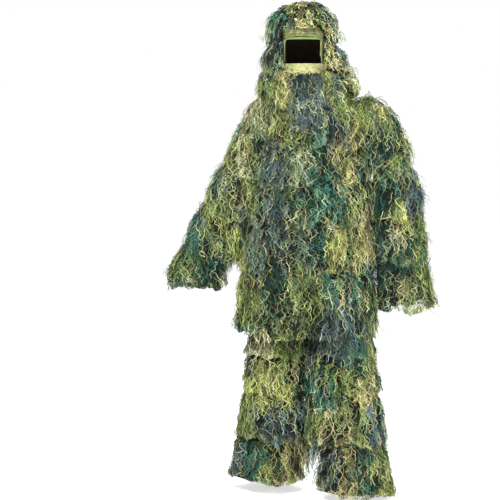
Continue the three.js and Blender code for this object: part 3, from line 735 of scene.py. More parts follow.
def thread_mesh(name, threads, mats):
    """Tubes of three sides for the threads, with the mats that they grow from, painted dark as shade, in one
    mesh.
    """
    count = len(threads)
    ring_count = STEPS + 1
    points = np.array([[tuple(p) for p in t[0]] for t in threads], float)
    radius = np.array([t[1] for t in threads])[:, None] * np.linspace(1.05, 0.55, ring_count)[None, :]
    tangent = unit_rows(np.gradient(points, axis=1))
    first = unit_rows(np.cross(tangent, np.array([0.31, 0.92, 0.24])))
    second = np.cross(tangent, first)
    radius = radius[:, :, None]
    rings = [points + (first * math.cos(turn) + second * math.sin(turn)) * radius for turn in ring_turns(3)]
    vertices = np.stack(rings, axis=2).reshape(-1, 3)
    base = (np.arange(count) * ring_count * 3)[:, None, None]
    ring = base + (np.arange(STEPS) * 3)[None, :, None]
    s = np.arange(3)[None, None, :]
    k = (s + 1) % 3
    quads = np.stack([ring + s, ring + k, ring + 3 + k, ring + 3 + s], axis=3).reshape(-1, 4)
    start = base[:, :, 0]
    caps = np.concatenate([start + np.array([[0, 2, 1]]), start + STEPS * 3 + np.array([[0, 1, 2]])], axis=0)

    # Each colour has a column of the palette, and each brightness a height in it.
    colour = np.array([t[2] for t in threads])
    level = np.array([t[3] for t in threads])
    # Painted shade: each thread is darker at its root, among the others, and lighter towards its tip.
    level = np.clip(level[:, None] * np.linspace(0.62, 1.12, ring_count)[None, :], 0.02, 0.96)
    columns = len(COLOUR_NAMES)
    u_quad = (colour[:, None, None, None] + (s[..., None] + np.array([0.04, 0.96, 0.96, 0.04])) / 3) / columns
    u_quad = np.broadcast_to(u_quad, (count, STEPS, 3, 4))
    upper, lower = level[:, :-1], level[:, 1:]
    lower = np.where(np.abs(lower - upper) < 0.006, upper + 0.006, lower)
    v_quad = np.stack([upper, upper, lower, lower], axis=2)[:, :, None, :]
    v_quad = np.broadcast_to(v_quad, (count, STEPS, 3, 4))
    u_cap = (colour[:, None] + np.array([[0.1, 0.9, 0.5]])) / columns
    v_cap = np.concatenate([level[:, 0], level[:, -1]])[:, None] + np.array([[0.0, 0.0, 0.01]])
    uvs = [np.stack([u_quad.reshape(-1), v_quad.reshape(-1)], axis=1),
           np.stack([np.concatenate([u_cap, u_cap]).reshape(-1), v_cap.reshape(-1)], axis=1)]

    palette = np.array([linear(*THREAD_COLOURS[c])[:3] for c in COLOUR_NAMES])
    # The colour that each thread carries holds its painted shade as well as its own colour.
    rgb = palette[colour][:, None, :] * strength_of(level)[:, :, None]
    all_vertices, all_rgb = [vertices], [np.repeat(rgb[:, :, None, :], 3, axis=2).reshape(-1, 3)]
    loops = [quads.reshape(-1), caps.reshape(-1)]
    starts = [np.arange(len(quads)) * 4, len(quads) * 4 + np.arange(len(caps)) * 3]
    done, loop_done = len(vertices), len(quads) * 4 + len(caps) * 3
    # The mats take the mat colour: painted shade, as dark as the gaps deep among the threads.
    mat_shade_colour = COLOUR_NAMES.index("mat")
    for mat_vertices, mat_faces, mat_level in mats:
        faces, mat_level = np.array(mat_faces), np.array(mat_level)
        all_vertices.append(np.array(mat_vertices))
        all_rgb.append(palette[mat_shade_colour][None, :] * strength_of(mat_level)[:, None])
        loops.append((faces + done).reshape(-1))
        starts.append(loop_done + np.arange(len(faces)) * 3)
        mat_u = np.broadcast_to((mat_shade_colour + np.array([[0.1, 0.9, 0.5]])) / columns, (len(faces), 3))
        mat_v = mat_level[faces[:, 0]][:, None] + np.array([[0.0, 0.0, 0.02]])
        uvs.append(np.stack([mat_u.reshape(-1), mat_v.reshape(-1)], axis=1))
        done += len(mat_vertices)
        loop_done += len(faces) * 3
    vertices = np.concatenate(all_vertices)
    loops = np.concatenate(loops).astype(np.int32)
    starts = np.concatenate(starts).astype(np.int32)
    mesh = bpy.data.meshes.new(name)
    mesh.vertices.add(len(vertices))
    mesh.vertices.foreach_set("co", vertices.astype(np.float32).ravel())
    mesh.loops.add(len(loops))
    mesh.loops.foreach_set("vertex_index", loops)
    mesh.polygons.add(len(starts))
    mesh.polygons.foreach_set("loop_start", starts)
    mesh.update(calc_edges=True)
    rgba = np.ones((len(vertices), 4), np.float32)
    rgba[:, :3] = np.clip(np.concatenate(all_rgb), 0, 1)
    mesh.color_attributes.new("Col", "FLOAT_COLOR", "POINT").data.foreach_set("color", rgba.ravel())
    mesh.uv_layers.new(name="OFBake").data.foreach_set("uv", np.concatenate(uvs).astype(np.float32).ravel())
    mesh.materials.append(THREAD)
    piece = bpy.data.objects.new(name, mesh)
    SCENE.collection.objects.link(piece)
    return piece


def lump(place):
    """Slow lumps in a mat of thread roots, from -1 to 1."""
    return (
        math.sin(61 * place.x + 17 * place.z) * math.sin(47 * place.z + 23 * place.y)
        + 0.5 * math.sin(139 * place.x + 90 * place.y + 3) * math.sin(121 * place.z + 1)
    ) / 1.5


def mat_of(name, keep):
    """The matted roots inside a tier: its CAD solid cut finer, and pushed in and out in lumps."""
    work = bmesh.new()
    work.from_mesh(NODES[name].data)
    bmesh.ops.triangulate(work, faces=work.faces)
    for _ in range(3):
        long_edges = [e for e in work.edges if e.calc_length() > 0.034]
        if not long_edges:
            break
        bmesh.ops.subdivide_edges(work, edges=long_edges, cuts=1)
        bmesh.ops.triangulate(work, faces=work.faces)
    work.normal_update()
    moved = []
    for vertex in work.verts:
        spot = shaped(name, vertex.co + vertex.normal * (-0.003 + 0.0035 * lump(vertex.co)))
        spot.z = max(0.002, spot.z)
        if name == "bib_fringe" and spot.z > 1.53:
            # The bib is gathered to a narrow, thin top under the chin band.
            pinch = min(1.0, (spot.z - 1.53) / 0.06) ** 2
            spot.x = 0.003 + (spot.x - 0.003) * (1 - 0.5 * pinch)
            spot.z -= 0.010 * pinch
        moved.append(spot)
    faces = [tuple(v.index for v in f.verts) for f in work.faces if keep(f.calc_center_median())]
    used = sorted({v for face in faces for v in face})
    number = {v: n for n, v in enumerate(used)}
    points = [tuple(moved[v]) for v in used]
    levels = [min(0.9, max(0.05, 0.32 + 0.28 * lump(Vector(p) * 1.7))) for p in points]
    work.free()
    return points, [tuple(number[v] for v in face) for face in faces], levels


def hem_of(end_z, play, floor_z, slack=0.0, edge=None):
    """A tier's lower edge: a height for each place, in slow lumps. slack lets a loose thread hang lower."""
    shift = 40 * end_z

    def hem(place):
        lumps = (0.5 * math.sin(23 * place.x + 19 * place.y + shift)
                 + 0.3 * math.sin(59 * place.x - 41 * place.y + shift)
                 + 0.2 * math.sin(127 * place.x + 97 * place.y))
        return max(floor_z, end_z - slack + play * lumps + (edge(place) if edge else 0.0))
    return hem


def level_edge(_place):
    return 0.0


def no_bulk(_place, _normal):
    return 0.0


def own_colour(colour, chance):
    pick = chance.random()
    if pick < 0.56:
        return colour
    if pick < 0.80:
        return chance.choice(NEIGHBOURS[colour])
    return chance.choice(STRAYS)


def clump_threads(place, settings, chance, skin):
    """The threads of one clump, which hang together and share most of their colour."""
    _, normal, _, _ = skin.find_nearest(place)
    side = normal.cross(DOWN)
    if side.length < 1e-3:
        turn = chance.random() * TAU
        side = Vector((math.cos(turn), math.sin(turn), 0))
    side.normalize()
    fall = side.cross(normal).normalized()
    if fall.z > 0:
        fall = -fall
    slack = chance.uniform(0.0, settings["slack"]) if chance.random() < 0.22 else 0.0
    hem = hem_of(settings["end_z"], settings["end_play"], settings["floor_z"], slack, settings["edge"])
    lean = chance.gauss(0, settings["lean"])
    heading = (fall * math.cos(lean) + side * math.sin(lean)).normalized()
    length = chance.uniform(*settings["length"])
    colour = settings["colour"] or colour_at(place + fall * length * 0.35, chance)
    base_lift = chance.uniform(*settings["lift"]) + settings["bulk"](place, normal)
    base_level = min(0.84, max(0.16, chance.gauss(0.50, 0.20)))
    # The threads just under the next tier up lie in its shade.
    shade = 0.62 + 0.38 * min(1.0, max(0.0, (settings["top_z"] - place.z) / 0.05))
    threads = []
    for _ in range(settings["per_clump"]):
        root = place + side * chance.gauss(0, settings["spread"]) + fall * chance.gauss(0, settings["spread"])
        root_near, root_normal, _, _ = skin.find_nearest(root)
        root = root_near - root_normal * 0.002
        if in_face(root) or root.z < hem(root) + HEM_CLEAR:
            continue
        tangled = chance.random() < settings["tangled"]
        turn = chance.gauss(0, 1.2 if tangled else 0.42)
        way = heading * math.cos(turn) + side * math.sin(turn) + root_normal * chance.uniform(0.1, 0.5)
        own = own_colour(colour, chance)
        level = min(0.97, max(0.04, chance.gauss(base_level, 0.24))) * shade
        depth = chance.random()
        own_lift = base_lift * (0.15 + 0.95 * depth) + 0.001
        # Painted shade: threads that lie low in the clump, under the others, are darker the lower they lie.
        level *= 0.45 + 0.62 * min(1.0, depth * 1.6)
        own_length = length * chance.uniform(0.5, 1.1) * (0.75 if tangled else 1.0)
        curl = chance.uniform(0.7, 1.5) if tangled else chance.uniform(*settings["curl"])
        points = grow(root, way.normalized(), own_length, own_lift, curl, chance, skin, hem,
                      0.16 if tangled else 0.38)
        radius = THREAD_RADIUS * chance.uniform(0.72, 1.25)
        threads.append((points, radius, COLOUR_NAMES.index(own), level))
    return threads


def wisps(places, settings, chance, skin):
    """Single bright, curly strands that lie loose on top of the clumps."""
    threads = []
    hem = hem_of(settings["end_z"], settings["end_play"], settings["floor_z"], 0.0, settings["edge"])
    for place in places:
        if place.z < hem(place) + HEM_CLEAR:
            continue
        _, normal, _, _ = skin.find_nearest(place)
        side = normal.cross(DOWN)
        if side.length < 1e-3:
            side = Vector((1, 0, 0))
        side.normalize()
        turn = chance.gauss(0, 1.0)
        way = (DOWN * math.cos(turn) + side * math.sin(turn) + normal * 0.3).normalized()
        lift = chance.uniform(0.006, 0.012) + settings["bulk"](place, normal)
        length, curl = chance.uniform(0.05, 0.13), chance.uniform(0.4, 1.1)
        points = grow(place, way, length, lift, curl, chance, skin, hem, 0.22)
        near_colour = colour_at(place, chance)
        own = chance.choice(["cream", "tan", "pale", "yellow", near_colour, near_colour])
        threads.append((points, THREAD_RADIUS * 0.72, COLOUR_NAMES.index(own), chance.uniform(0.45, 0.88)))
    return threads


DEFAULTS = {
    "lean": 0.34, "length": (0.075, 0.150), "end_play": 0.024, "lift": (0.004, 0.014), "per_clump": 12,
    "spread": 0.0075, "curl": (0.20, 0.85), "floor_z": 0.004, "colour": None, "top": 0.0, "bottom": 0.97,
    "tangled": 0.60, "bulk": no_bulk, "slack": 0.045, "density": 1.0, "edge": level_edge,
    "mat": lambda _centre: True,
}
CLUMPS_PER_AREA = 950
WISPS_PER_AREA = 1200


def centre_side(place):
    """Which half of the jacket a place is on: its front opening and back vent part it."""
    middle = 0.038 if place.y < 0 else 0.016
    return "left" if place.x > middle else "right"


def everywhere(_place):
    return "all"


def front_or_back(place):
    return "front" if place.y < 0 else "back"


def fringe(node, drop, halves=everywhere, extra=(), **changes):
    """The threads of one CAD tier, a piece for each half. drop is how far they hang past its edge."""
    chance = random.Random("threads of " + node)
    low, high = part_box(node)
    settings = dict(DEFAULTS, end_z=low.z - drop, top_z=high.z)
    settings.update(changes)
    skin = BIB_SKIN if node == "bib_fringe" else SKIN
    _, area = roots_on(node, 1, chance, 0, 1)
    span = (settings["top"], settings["bottom"])
    places, _ = roots_on(node, int(area * CLUMPS_PER_AREA * settings["density"]) + 6, chance, *span)
    groups = {}
    for place in places:
        groups.setdefault(halves(place), []).extend(clump_threads(place, settings, chance, skin))
    loose, _ = roots_on(node, int(area * WISPS_PER_AREA), chance, *span)
    for place in loose:
        groups.setdefault(halves(place), []).extend(wisps([place], settings, chance, skin))
    for place, thread in extra:
        groups.setdefault(halves(place), []).append(thread)
    made = {}
    for half in sorted(groups):
        mats = [mat_of(node, lambda centre, half=half: halves(centre) == half and settings["mat"](centre))]
        suffix = "" if half == "all" else "_" + half
        piece = thread_mesh(node + "_threads" + suffix, groups[half], mats)
        keep_piece(piece, [node])
        made[half] = piece
    return made


# ---------------------------------------------------------------- the threads, tier by tier

def pile(places, rise, length, chance, skin, end_z, bulk=0.012, fall=0.40, colour=None):
    """Bushy threads that stand up off the cloth and fall over it, such as over the shoulders."""
    hem = hem_of(end_z, 0.015, 0.004)
    extra = []
    for place in places:
        hue = colour or colour_at(place, chance)
        base_level = min(0.78, max(0.14, chance.gauss(0.44, 0.15)))
        top = rise(place) * chance.uniform(0.3, 1.0)
        for _ in range(10):
            near, normal, _, _ = skin.find_nearest(place + Vector([chance.gauss(0, 0.008) for _ in range(3)]))
            root = near - normal * 0.002
            out = Vector((normal.x, place.y * 6, 0)) + Vector([chance.gauss(0, 0.6) for _ in range(3)])
            own = own_colour(hue, chance)
            level = min(0.95, max(0.05, chance.gauss(base_level, 0.2)))
            up = top * chance.uniform(0.5, 1.1)
            points = grow(root, out.normalized(), chance.uniform(*length), bulk * chance.uniform(0.2, 1.1),
                          chance.uniform(0.25, 1.1), chance, skin, hem, fall, up)
            radius = THREAD_RADIUS * chance.uniform(0.75, 1.2)
            extra.append((place, (points, radius, COLOUR_NAMES.index(own), level)))
    return extra


def pile_piece(name, extra, node, body):
    """Threads that are sewn on apart from a tier's own rows, as their own piece."""
    piece = thread_mesh(name, [thread for _, thread in extra], [])
    keep_piece(piece, [node], body)


def shoulder_pile(side):
    """The threads heaped on a shoulder, between the hood and the sleeve."""
    chance = random.Random("pile of " + side)
    first, last = ((-0.045, -0.165), (0.120, 0.275))[side == "left"]
    places = []
    for _ in range(170):
        share = chance.random()
        x = first + (last - first) * share
        places.append(Vector((x, chance.uniform(-0.11, 0.10), 1.50 - 0.02 * share)))

    def rise(place):
        if side == "left":
            return 0.040 * max(0.1, 1 - max(0.0, place.x - 0.20) / 0.11)
        return 0.020
    return pile(places, rise, (0.09, 0.17), chance, SKIN, 1.33, bulk=0.016)


def throat_pile():
    """The threads that hang beside the bib, below the hood's opening."""
    chance = random.Random("throat")
    hem = hem_of(1.455, 0.015, 0.004)
    extra = []
    for n in range(120):
        across = chance.uniform(0.040, 0.090) * (1 if n % 2 else -1)
        front = HOOD_CENTRE_Y - 0.127 * math.sqrt(1 - (across / HOOD_HALF_WIDTH) ** 2) - 0.008
        place = Vector((across, front, chance.uniform(1.52, 1.594)))
        hue = colour_at(place, chance)
        base_level = chance.uniform(0.3, 0.7)
        for _ in range(11):
            aside = (chance.gauss(0, 0.007), chance.uniform(-0.006, 0.002), chance.gauss(0, 0.005))
            root = place + Vector(aside)
            root.z = min(root.z, 1.592)
            way = Vector((chance.gauss(0, 0.5), chance.uniform(-0.7, -0.1), -1)).normalized()
            level = min(0.95, max(0.08, chance.gauss(base_level, 0.2)))
            length, curl = chance.uniform(0.06, 0.12), chance.uniform(0.4, 1.3)
            points = grow(root, way, length, 0.0, curl, chance, BIB_SKIN, hem, 0.24)
            extra.append((place, (points, THREAD_RADIUS, COLOUR_NAMES.index(own_colour(hue, chance)), level)))
    return extra


def fringe_on(body, node, drop, **changes):
    """A tier whose pieces all ride one body."""
    for piece in fringe(node, drop, **changes).values():
        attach(piece, body)


for node, drop in (("cape_fringe_front", 0.018), ("cape_fringe_back", 0.018), ("chest_fringe_front", 0.014),
                   ("chest_fringe_back", 0.014)):
    fringe_on("jacket", node, drop)
fringe_on("jacket", "waist_fringe", 0.014, halves=front_or_back)


def to_thigh(piece):
    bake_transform(piece)


def raised_right(place):
    """The jacket's hem hangs a little higher at the wearer's right side."""
    return 0.036 * min(1.0, max(0.0, (-0.10 - place.x) / 0.10))


for node, drop, edge in (("skirt_fringe", 0.014, level_edge), ("hem_fringe", 0.022, raised_right)):
    for side, piece in fringe(node, drop, centre_side, edge=edge).items():
        to_thigh(piece)


def hood_bulk(place, normal):
    """The hood's threads stand further out on the wearer's left, down to the shoulder."""
    if normal.x > 0.2 and place.z < 1.70:
        return min(0.046, (1.70 - place.z) * 0.42) * min(1.0, normal.x * 1.4)
    return 0.0


for node, drop in (("crown_fringe", 0.030), ("hood_upper_fringe", 0.020), ("hood_lower_fringe", 0.012)):
    lift = (0.005, 0.019) if node == "crown_fringe" else (0.003, 0.010)
    fringe_on("hood", node, drop, bulk=hood_bulk, density=1.7, length=(0.045, 0.095), lean=0.6, tangled=0.72,
              lift=lift)
pile_piece("throat_threads", throat_pile(), "hood_lower_fringe", "hood")
fringe_on("face_flap", "bib_fringe", 0.022, colour="slate", length=(0.07, 0.14), lift=(0.002, 0.010),
          tangled=0.3, density=2.4)


def leg_bulk(side):
    """The inner sides of the legs are bushy enough to meet, down to the lower shins."""
    sign = 1 if side == "right" else -1

    def bulk(place, normal):
        inward = normal.x * sign
        return 0.030 * min(1.0, max(0.0, inward - 0.15) * 1.6) if place.z > 0.13 else 0.0
    return bulk


def thigh_pile(side):
    """Threads high on the thigh, which fill the space under the jacket's hem."""
    chance = random.Random("thigh of " + side)
    hip, knee, _ = leg_axis(side)
    places = []
    for _ in range(160):
        turn = chance.random() * TAU
        height = chance.uniform(0.575, 0.665)
        centre = hip + (knee - hip) * ((hip.z - height) / (hip.z - knee.z))
        places.append(Vector((centre.x + 0.094 * math.cos(turn), centre.y + 0.094 * math.sin(turn), height)))
    return pile(places, lambda place: 0.0, (0.08, 0.13), chance, LEG_SKIN, 0.53, bulk=0.022)


LEG_HEM = {"right": 0.026, "left": 0.010}


def rounded_hem(side):
    """The hems of the legs hang lower behind, and rise in front and at the left leg's inner side."""
    foot = leg_axis(side)[2]

    def edge(place):
        front = min(1.0, max(0.0, (foot.y - place.y) / 0.10))
        inner = min(1.0, max(0.0, (foot.x - 0.035 - place.x) / 0.06)) if side == "left" else 0.0
        outer = min(1.0, max(0.0, (foot.x - 0.040 - place.x) / 0.06)) if side == "right" else 0.0
        return 0.012 * front + 0.026 * inner + 0.020 * outer
    return edge


def outer_left(place, normal):
    """The wearer's left sleeve is bushier on its outer side, from the shoulder to above the elbow."""
    return 0.024 * min(1.0, max(0.0, normal.x) * 1.3) if place.z > 1.28 else 0.0


for side in ("right", "left"):
    shoulder, elbow, upper, fore = arm_axis(side)
    upper_body, fore_body = side + "_upper_arm", side + "_forearm"
    bulk = outer_left if side == "left" else no_bulk
    for piece in fringe(side + "_upper_fringe", 0.012, extra=shoulder_pile(side), bulk=bulk).values():
        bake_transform(piece)
    for piece in fringe(side + "_elbow_fringe", 0.014).values():
        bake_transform(piece)
    fringe_on(fore_body, side + "_lower_fringe", 0.012, lift=(0.003, 0.010))
    cuff_end, mat_end = {"right": (-0.032, 0.388), "left": (-0.006, 0.430)}[side]

    def above_cuff(centre, elbow=elbow, fore=fore, mat_end=mat_end):
        return (centre - elbow).dot(fore) < mat_end

    fringe_on(fore_body, side + "_cuff_fringe", cuff_end, end_play=0.020, lift=(0.001, 0.007), slack=0.0,
              mat=above_cuff)
    hip, knee, foot = leg_axis(side)
    thigh_body, shin_body = side + "_thigh", side + "_shin"
    bulk = leg_bulk(side)
    for piece in fringe(side + "_knee_fringe", 0.012, bulk=bulk, slack=0.01).values():
        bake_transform(piece)
    pile_piece(side + "_thigh_threads", thigh_pile(side), side + "_knee_fringe", thigh_body)
    fringe_on(shin_body, side + "_shin_fringe", 0.012, bulk=bulk, slack=0.01)

    def above_hem(centre, low=LEG_HEM[side] + 0.030):
        return centre.z > low

    fringe_on(shin_body, side + "_leg_cuff_fringe", -LEG_HEM[side], end_play=0.012, bulk=bulk, slack=0.0,
              mat=above_hem, edge=rounded_hem(side))


# ---------------------------------------------------------------- the jacket's cloth

CLOTH = 0.0012
JACKET_TOP, JACKET_HEM, SKIRT_HEM = 1.500, 0.905, 0.690
OPENING_TURN = TAU * 0.75 + 0.09  # where the jacket opens, a little to the left of the middle


def add_sheet(name, rows, material, nodes, body, thickness=CLOTH, closed=False,
              keep=None, inner=None, inside=None):
    """Cloth through rows of points. body is None if the piece rides no one body."""
    piece = thicken(grid(name, rows, material, closed, keep), thickness, inner, inside)
    keep_piece(piece, nodes, body)
    return piece


def torso_sheet(name, first, last, columns, node, seed):
    """A panel of the jacket, from turn first to turn last, with slow folds that hang from the shoulders."""
    rows = []
    count = max(4, int((JACKET_TOP - JACKET_HEM) / 0.02))
    for down in shares(count):
        height = JACKET_TOP - (JACKET_TOP - JACKET_HEM) * down
        row = []
        for share in shares(columns):
            turn = first + (last - first) * share
            fold = 0.0022 * math.sin(17 * turn + seed + 3 * height)
            fold += 0.0012 * math.sin(41 * height + 5 * turn)
            row.append(torso_point(height, turn, fold - 0.003))
        rows.append(row)
    shoulders = [(joint_place(s + "_shoulder"), arm_axis(s)[2]) for s in ("right", "left")]

    def outside_armholes(place):
        for start, along in shoulders:
            reach = (place - start).dot(along)
            if -0.10 < reach < 0.105 and (place - start - along * reach).length < 0.052:
                return False
        return True

    add_sheet(name, rows, CARRIER, [node], "jacket",
              keep=outside_armholes)


torso_sheet("jacket_back_cloth", 0.0, math.pi, 60, "jacket_back_panel", 0.4)
torso_sheet("jacket_right_cloth", math.pi, OPENING_TURN, 34, "jacket_front_right", 1.9)
torso_sheet("jacket_left_cloth", OPENING_TURN, TAU, 30, "jacket_front_left", 2.7)


def skirt_sheet(side, first, last):
    rows = []
    for down in shares(12):
        height = JACKET_HEM - 0.003 - (JACKET_HEM - 0.003 - SKIRT_HEM) * down
        turns = [first + (last - first) * share for share in shares(56)]
        rows.append([torso_point(height, turn, 0.004 * down * math.sin(13 * turn) - 0.003) for turn in turns])
    piece = add_sheet(side + "_skirt_cloth", rows, CARRIER, ["jacket_skirt"], None)
    to_thigh(piece)


skirt_sheet("right", math.pi / 2 + 0.02, OPENING_TURN - 0.01)
skirt_sheet("left", OPENING_TURN + 0.01 - TAU, math.pi / 2 - 0.02)

# The placket that covers the opening, with two rows of stitching, and its snaps.
placket_low, placket_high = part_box("front_placket")


def placket_point(height, across, stand_out):
    """across runs from 0 to 1 over the placket's width."""
    _, centre, width, depth = between(TORSO, height)
    x = placket_low.x + (placket_high.x - placket_low.x) * across
    cosine = max(-1.0, min(1.0, (x - centre) / width))
    return Vector((x, -depth * math.sqrt(1 - cosine * cosine) - 0.0022 - stand_out, height))


placket_heights = [placket_high.z - (placket_high.z - placket_low.z) * share for share in shares(60)]
placket_rows = [
    [placket_point(height, across, 0.0008 * math.sin(70 * height)) for across in shares(8)]
    for height in placket_heights
]
add_sheet("placket_cloth", placket_rows, PLACKET, ["front_placket"], "jacket", 0.0016,
          inside=(0.04, 0, 1.2))

STITCH_LENGTH, STITCH_GAP = 0.0042, 0.0026
STITCH_RISE, STITCH_HALF_WIDTH, STITCH_HALF_THICKNESS = 0.0008, 0.0006, 0.00045


def stitch_row(name, points, normal, body):
    """Single raised stitches along a line."""
    vertices, faces = [], []
    out = Vector(normal).normalized()
    travelled, target = 0.0, 0.0
    for a, b in zip(points, points[1:]):
        span = (b - a).length
        along = (b - a) / max(span, 1e-9)
        across = along.cross(out).normalized()
        while target < travelled + span:
            middle = a + along * (target - travelled)
            faces += tube_faces(3, 4, len(vertices))
            for end, rise in ((-0.5, 0.0), (0.0, STITCH_RISE), (0.5, 0.0)):
                for turn in ring_turns(4):
                    vertices.append(middle + along * (end * STITCH_LENGTH)
                                    + out * (rise + STITCH_HALF_THICKNESS * math.sin(turn))
                                    + across * (STITCH_HALF_WIDTH * math.cos(turn)))
            target += STITCH_LENGTH + STITCH_GAP
        travelled += span
    keep_piece(make_object(name, vertices, faces, STITCH), [], body)


for label, across in (("right", 0.08), ("left", 0.92)):
    line = [placket_point(height, across, 0.0012) for height in placket_heights]
    stitch_row(f"placket_stitches_{label}", line, (0, -1, 0), "jacket")


def snap(name, node, body, facing):
    """A press stud: a domed cap with a rolled rim and a small dimple, lathed about its axis."""
    low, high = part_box(node)
    centre = (low + high) / 2
    radius = (high.x - low.x) / 2
    out = Vector(facing).normalized()
    first = out.cross(Vector((0, 0, 1))).normalized()
    second = out.cross(first)
    profile = [(1.0, -0.5), (1.02, 0.1), (0.95, 0.5), (0.86, 0.42), (0.72, 0.6), (0.45, 0.85), (0.2, 0.9),
               (0.08, 0.7)]
    thick = 0.0030
    sides = 28
    vertices = []
    for share, rise in profile:
        for turn in ring_turns(sides):
            around = first * math.cos(turn) + second * math.sin(turn)
            vertices.append(centre + out * (rise * thick) + around * radius * share)
    piece = make_object(name, vertices, tube_faces(len(profile), sides), METAL)
    keep_piece(piece, [node], body)


snap("upper_press_stud", "snap_upper", "jacket", (0, -1, 0.08))
snap("lower_press_stud", "snap_lower", "jacket", (0, -1, 0))

# The collar: a band of doubled cloth that stands round the neck.
collar_low, collar_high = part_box("collar")
collar_centre = (collar_low + collar_high) / 2


def collar_point(share, turn):
    reach = (collar_high.x - collar_low.x) / 2 - 0.004
    reach += 0.0035 * math.sin(math.pi * share) + 0.0012 * math.sin(9 * turn + 2)
    height = collar_high.z - 0.001 - (collar_high.z - collar_low.z - 0.002) * share
    around = Vector((reach * math.cos(turn), reach * math.sin(turn), 0.002 * math.sin(2 * turn)))
    return Vector((collar_centre.x, collar_centre.y, height)) + around


collar_rows = [[collar_point(share, turn) for turn in ring_turns(72)] for share in shares(8)]
add_sheet("collar_cloth", collar_rows, PLACKET, ["collar"], "jacket", 0.0022, closed=True)


# ---------------------------------------------------------------- sleeves and legs

def polyline(points, count):
    """count points spread evenly along a line of points, with the direction at each."""
    lengths = [(b - a).length for a, b in zip(points, points[1:])]
    total = sum(lengths)
    places, directions = [], []
    for share in shares(count - 1):
        target = total * share
        for (a, b), length in zip(zip(points, points[1:]), lengths):
            if target <= length + 1e-9:
                break
            target -= length
        reached = target <= length + 1e-9
        places.append(a + (b - a) * (target / length) if reached else points[-1].copy())
        directions.append((b - a).normalized())
    # A smooth bend: each direction is the mean of its neighbours.
    smooth = [sum(directions[max(0, n - 3):n + 4], Vector()).normalized() for n in range(count)]
    return places, smooth


def cloth_tube(name, line, count, radius, flare, nodes, seed, size=0.0022):
    """A sleeve or a leg: a tube of cloth, flare wider at its end, that turns from one body to the next."""
    centres, directions = polyline(line, count)
    rows = []
    length = 0.0
    for i, (centre, direction, share) in enumerate(zip(centres, directions, shares(count - 1))):
        if i:
            length += (centre - centres[i - 1]).length
        reach = radius + flare * share - size
        rows.append(ring_about(centre, direction, 44, lambda turn: reach + wrinkle(turn, length, size, seed)))
    piece = add_sheet(name, rows, CARRIER, nodes, None, closed=True)
    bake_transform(piece)


def gathered_cuff(name, node, direction, body):
    """Elastic in a cuff: a ribbed band that pulls the cloth into small gathers."""
    low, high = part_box(node)
    width, radius = 0.022, 0.0555
    rows = []
    for share in shares(8):
        swell = radius + 0.0016 * math.sin(math.pi * share)
        centre = (low + high) / 2 + direction * (width * (share - 0.5))
        rows.append(ring_about(centre, direction, 168, lambda turn: swell + 0.0011 * math.sin(42 * turn)))
    add_sheet(name, rows, ELASTIC, [node], body, 0.0014, closed=True)


for side in ("right", "left"):
    shoulder, elbow, upper, fore = arm_axis(side)
    upper_body, fore_body = side + "_upper_arm", side + "_forearm"
    middle = shoulder + upper * 0.165
    cuff = elbow + fore * 0.325
    cloth_tube(side + "_sleeve_top", [shoulder - upper * 0.028, middle], 16, SLEEVE_RADIUS - 0.003, 0.0,
               [side + "_upper_sleeve", side + "_shoulder_gusset"],
               0.7)
    cloth_tube(side + "_sleeve_low", [middle, elbow, cuff], 34, SLEEVE_RADIUS - 0.003, 0.0,
               [side + "_lower_sleeve", side + "_elbow_gusset"],
               1.7)
    gathered_cuff(side + "_cuff_elastic_band", side + "_cuff_elastic", fore, fore_body)

    hip, knee, foot = leg_axis(side)
    thigh_body, shin_body = side + "_thigh", side + "_shin"
    leg_top = Vector((hip.x, hip.y, 0.972))
    leg_middle = hip + (knee - hip) * 0.45
    hem = foot + (knee - foot) * ((LEG_HEM[side] + 0.022) / knee.z)
    cloth_tube(side + "_leg_top", [leg_top, hip, leg_middle], 22, LEG_RADIUS - 0.006, 0.0,
               [side + "_thigh", side + "_hip_gusset"],
               2.9)
    cloth_tube(side + "_leg_low", [leg_middle, knee, hem], 44, LEG_RADIUS - 0.005, 0.012,
               [side + "_shin", side + "_knee_gusset"],
               4.1,
               size=0.003)

# The trousers' seat, gathered by its waist elastic.
seat_low, seat_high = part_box("trouser_seat")
elastic_low, elastic_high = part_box("waistband_elastic")


def seat_ring(height, grow, gathers):
    centre, half = (seat_low + seat_high) / 2, (seat_high - seat_low) / 2
    row = []
    for turn in ring_turns(168):
        reach = grow + gathers * math.sin(36 * turn)
        around = Vector(((half.x + reach) * math.cos(turn), (half.y + reach) * math.sin(turn), 0))
        row.append(Vector((centre.x, centre.y, height)) + around)
    return row


seat_rows = [
    seat_ring(seat_high.z - (seat_high.z - seat_low.z) * share, -0.003, 0.0014 * (1 - share))
    for share in shares(14)
]
add_sheet("trouser_seat_cloth", seat_rows, CARRIER, ["trouser_seat"], "jacket", closed=True)
elastic_rows = [
    seat_ring(elastic_high.z - (elastic_high.z - elastic_low.z) * share,
              -0.0065 + 0.001 * math.sin(math.pi * share), 0.0009)
    for share in shares(6)
]
add_sheet("waist_elastic_band", elastic_rows, ELASTIC, ["waistband_elastic"], "jacket", 0.0014,
          closed=True)


# ---------------------------------------------------------------- the hood and its face opening

CHEEK_Z, HOOD_BOTTOM_Z = 1.610, 1.549


def hood_point(height, turn, grow=0.0):
    """turn is 0 at the front and runs towards the wearer's left side."""
    if height > HOOD_MID_Z:
        share = min(1.0, (height - HOOD_MID_Z) / HOOD_RISE)
        size = math.sqrt(max(0.0, 1 - share * share))
    elif height > CHEEK_Z:
        size = 1 - 0.03 * (HOOD_MID_Z - height) / 0.080
    else:
        size = 0.97 - 0.07 * (CHEEK_Z - height) / 0.062
    width = HOOD_HALF_WIDTH * size + grow
    depth = HOOD_HALF_DEPTH * size + grow
    return Vector((width * math.sin(turn), HOOD_CENTRE_Y - depth * math.cos(turn), height))


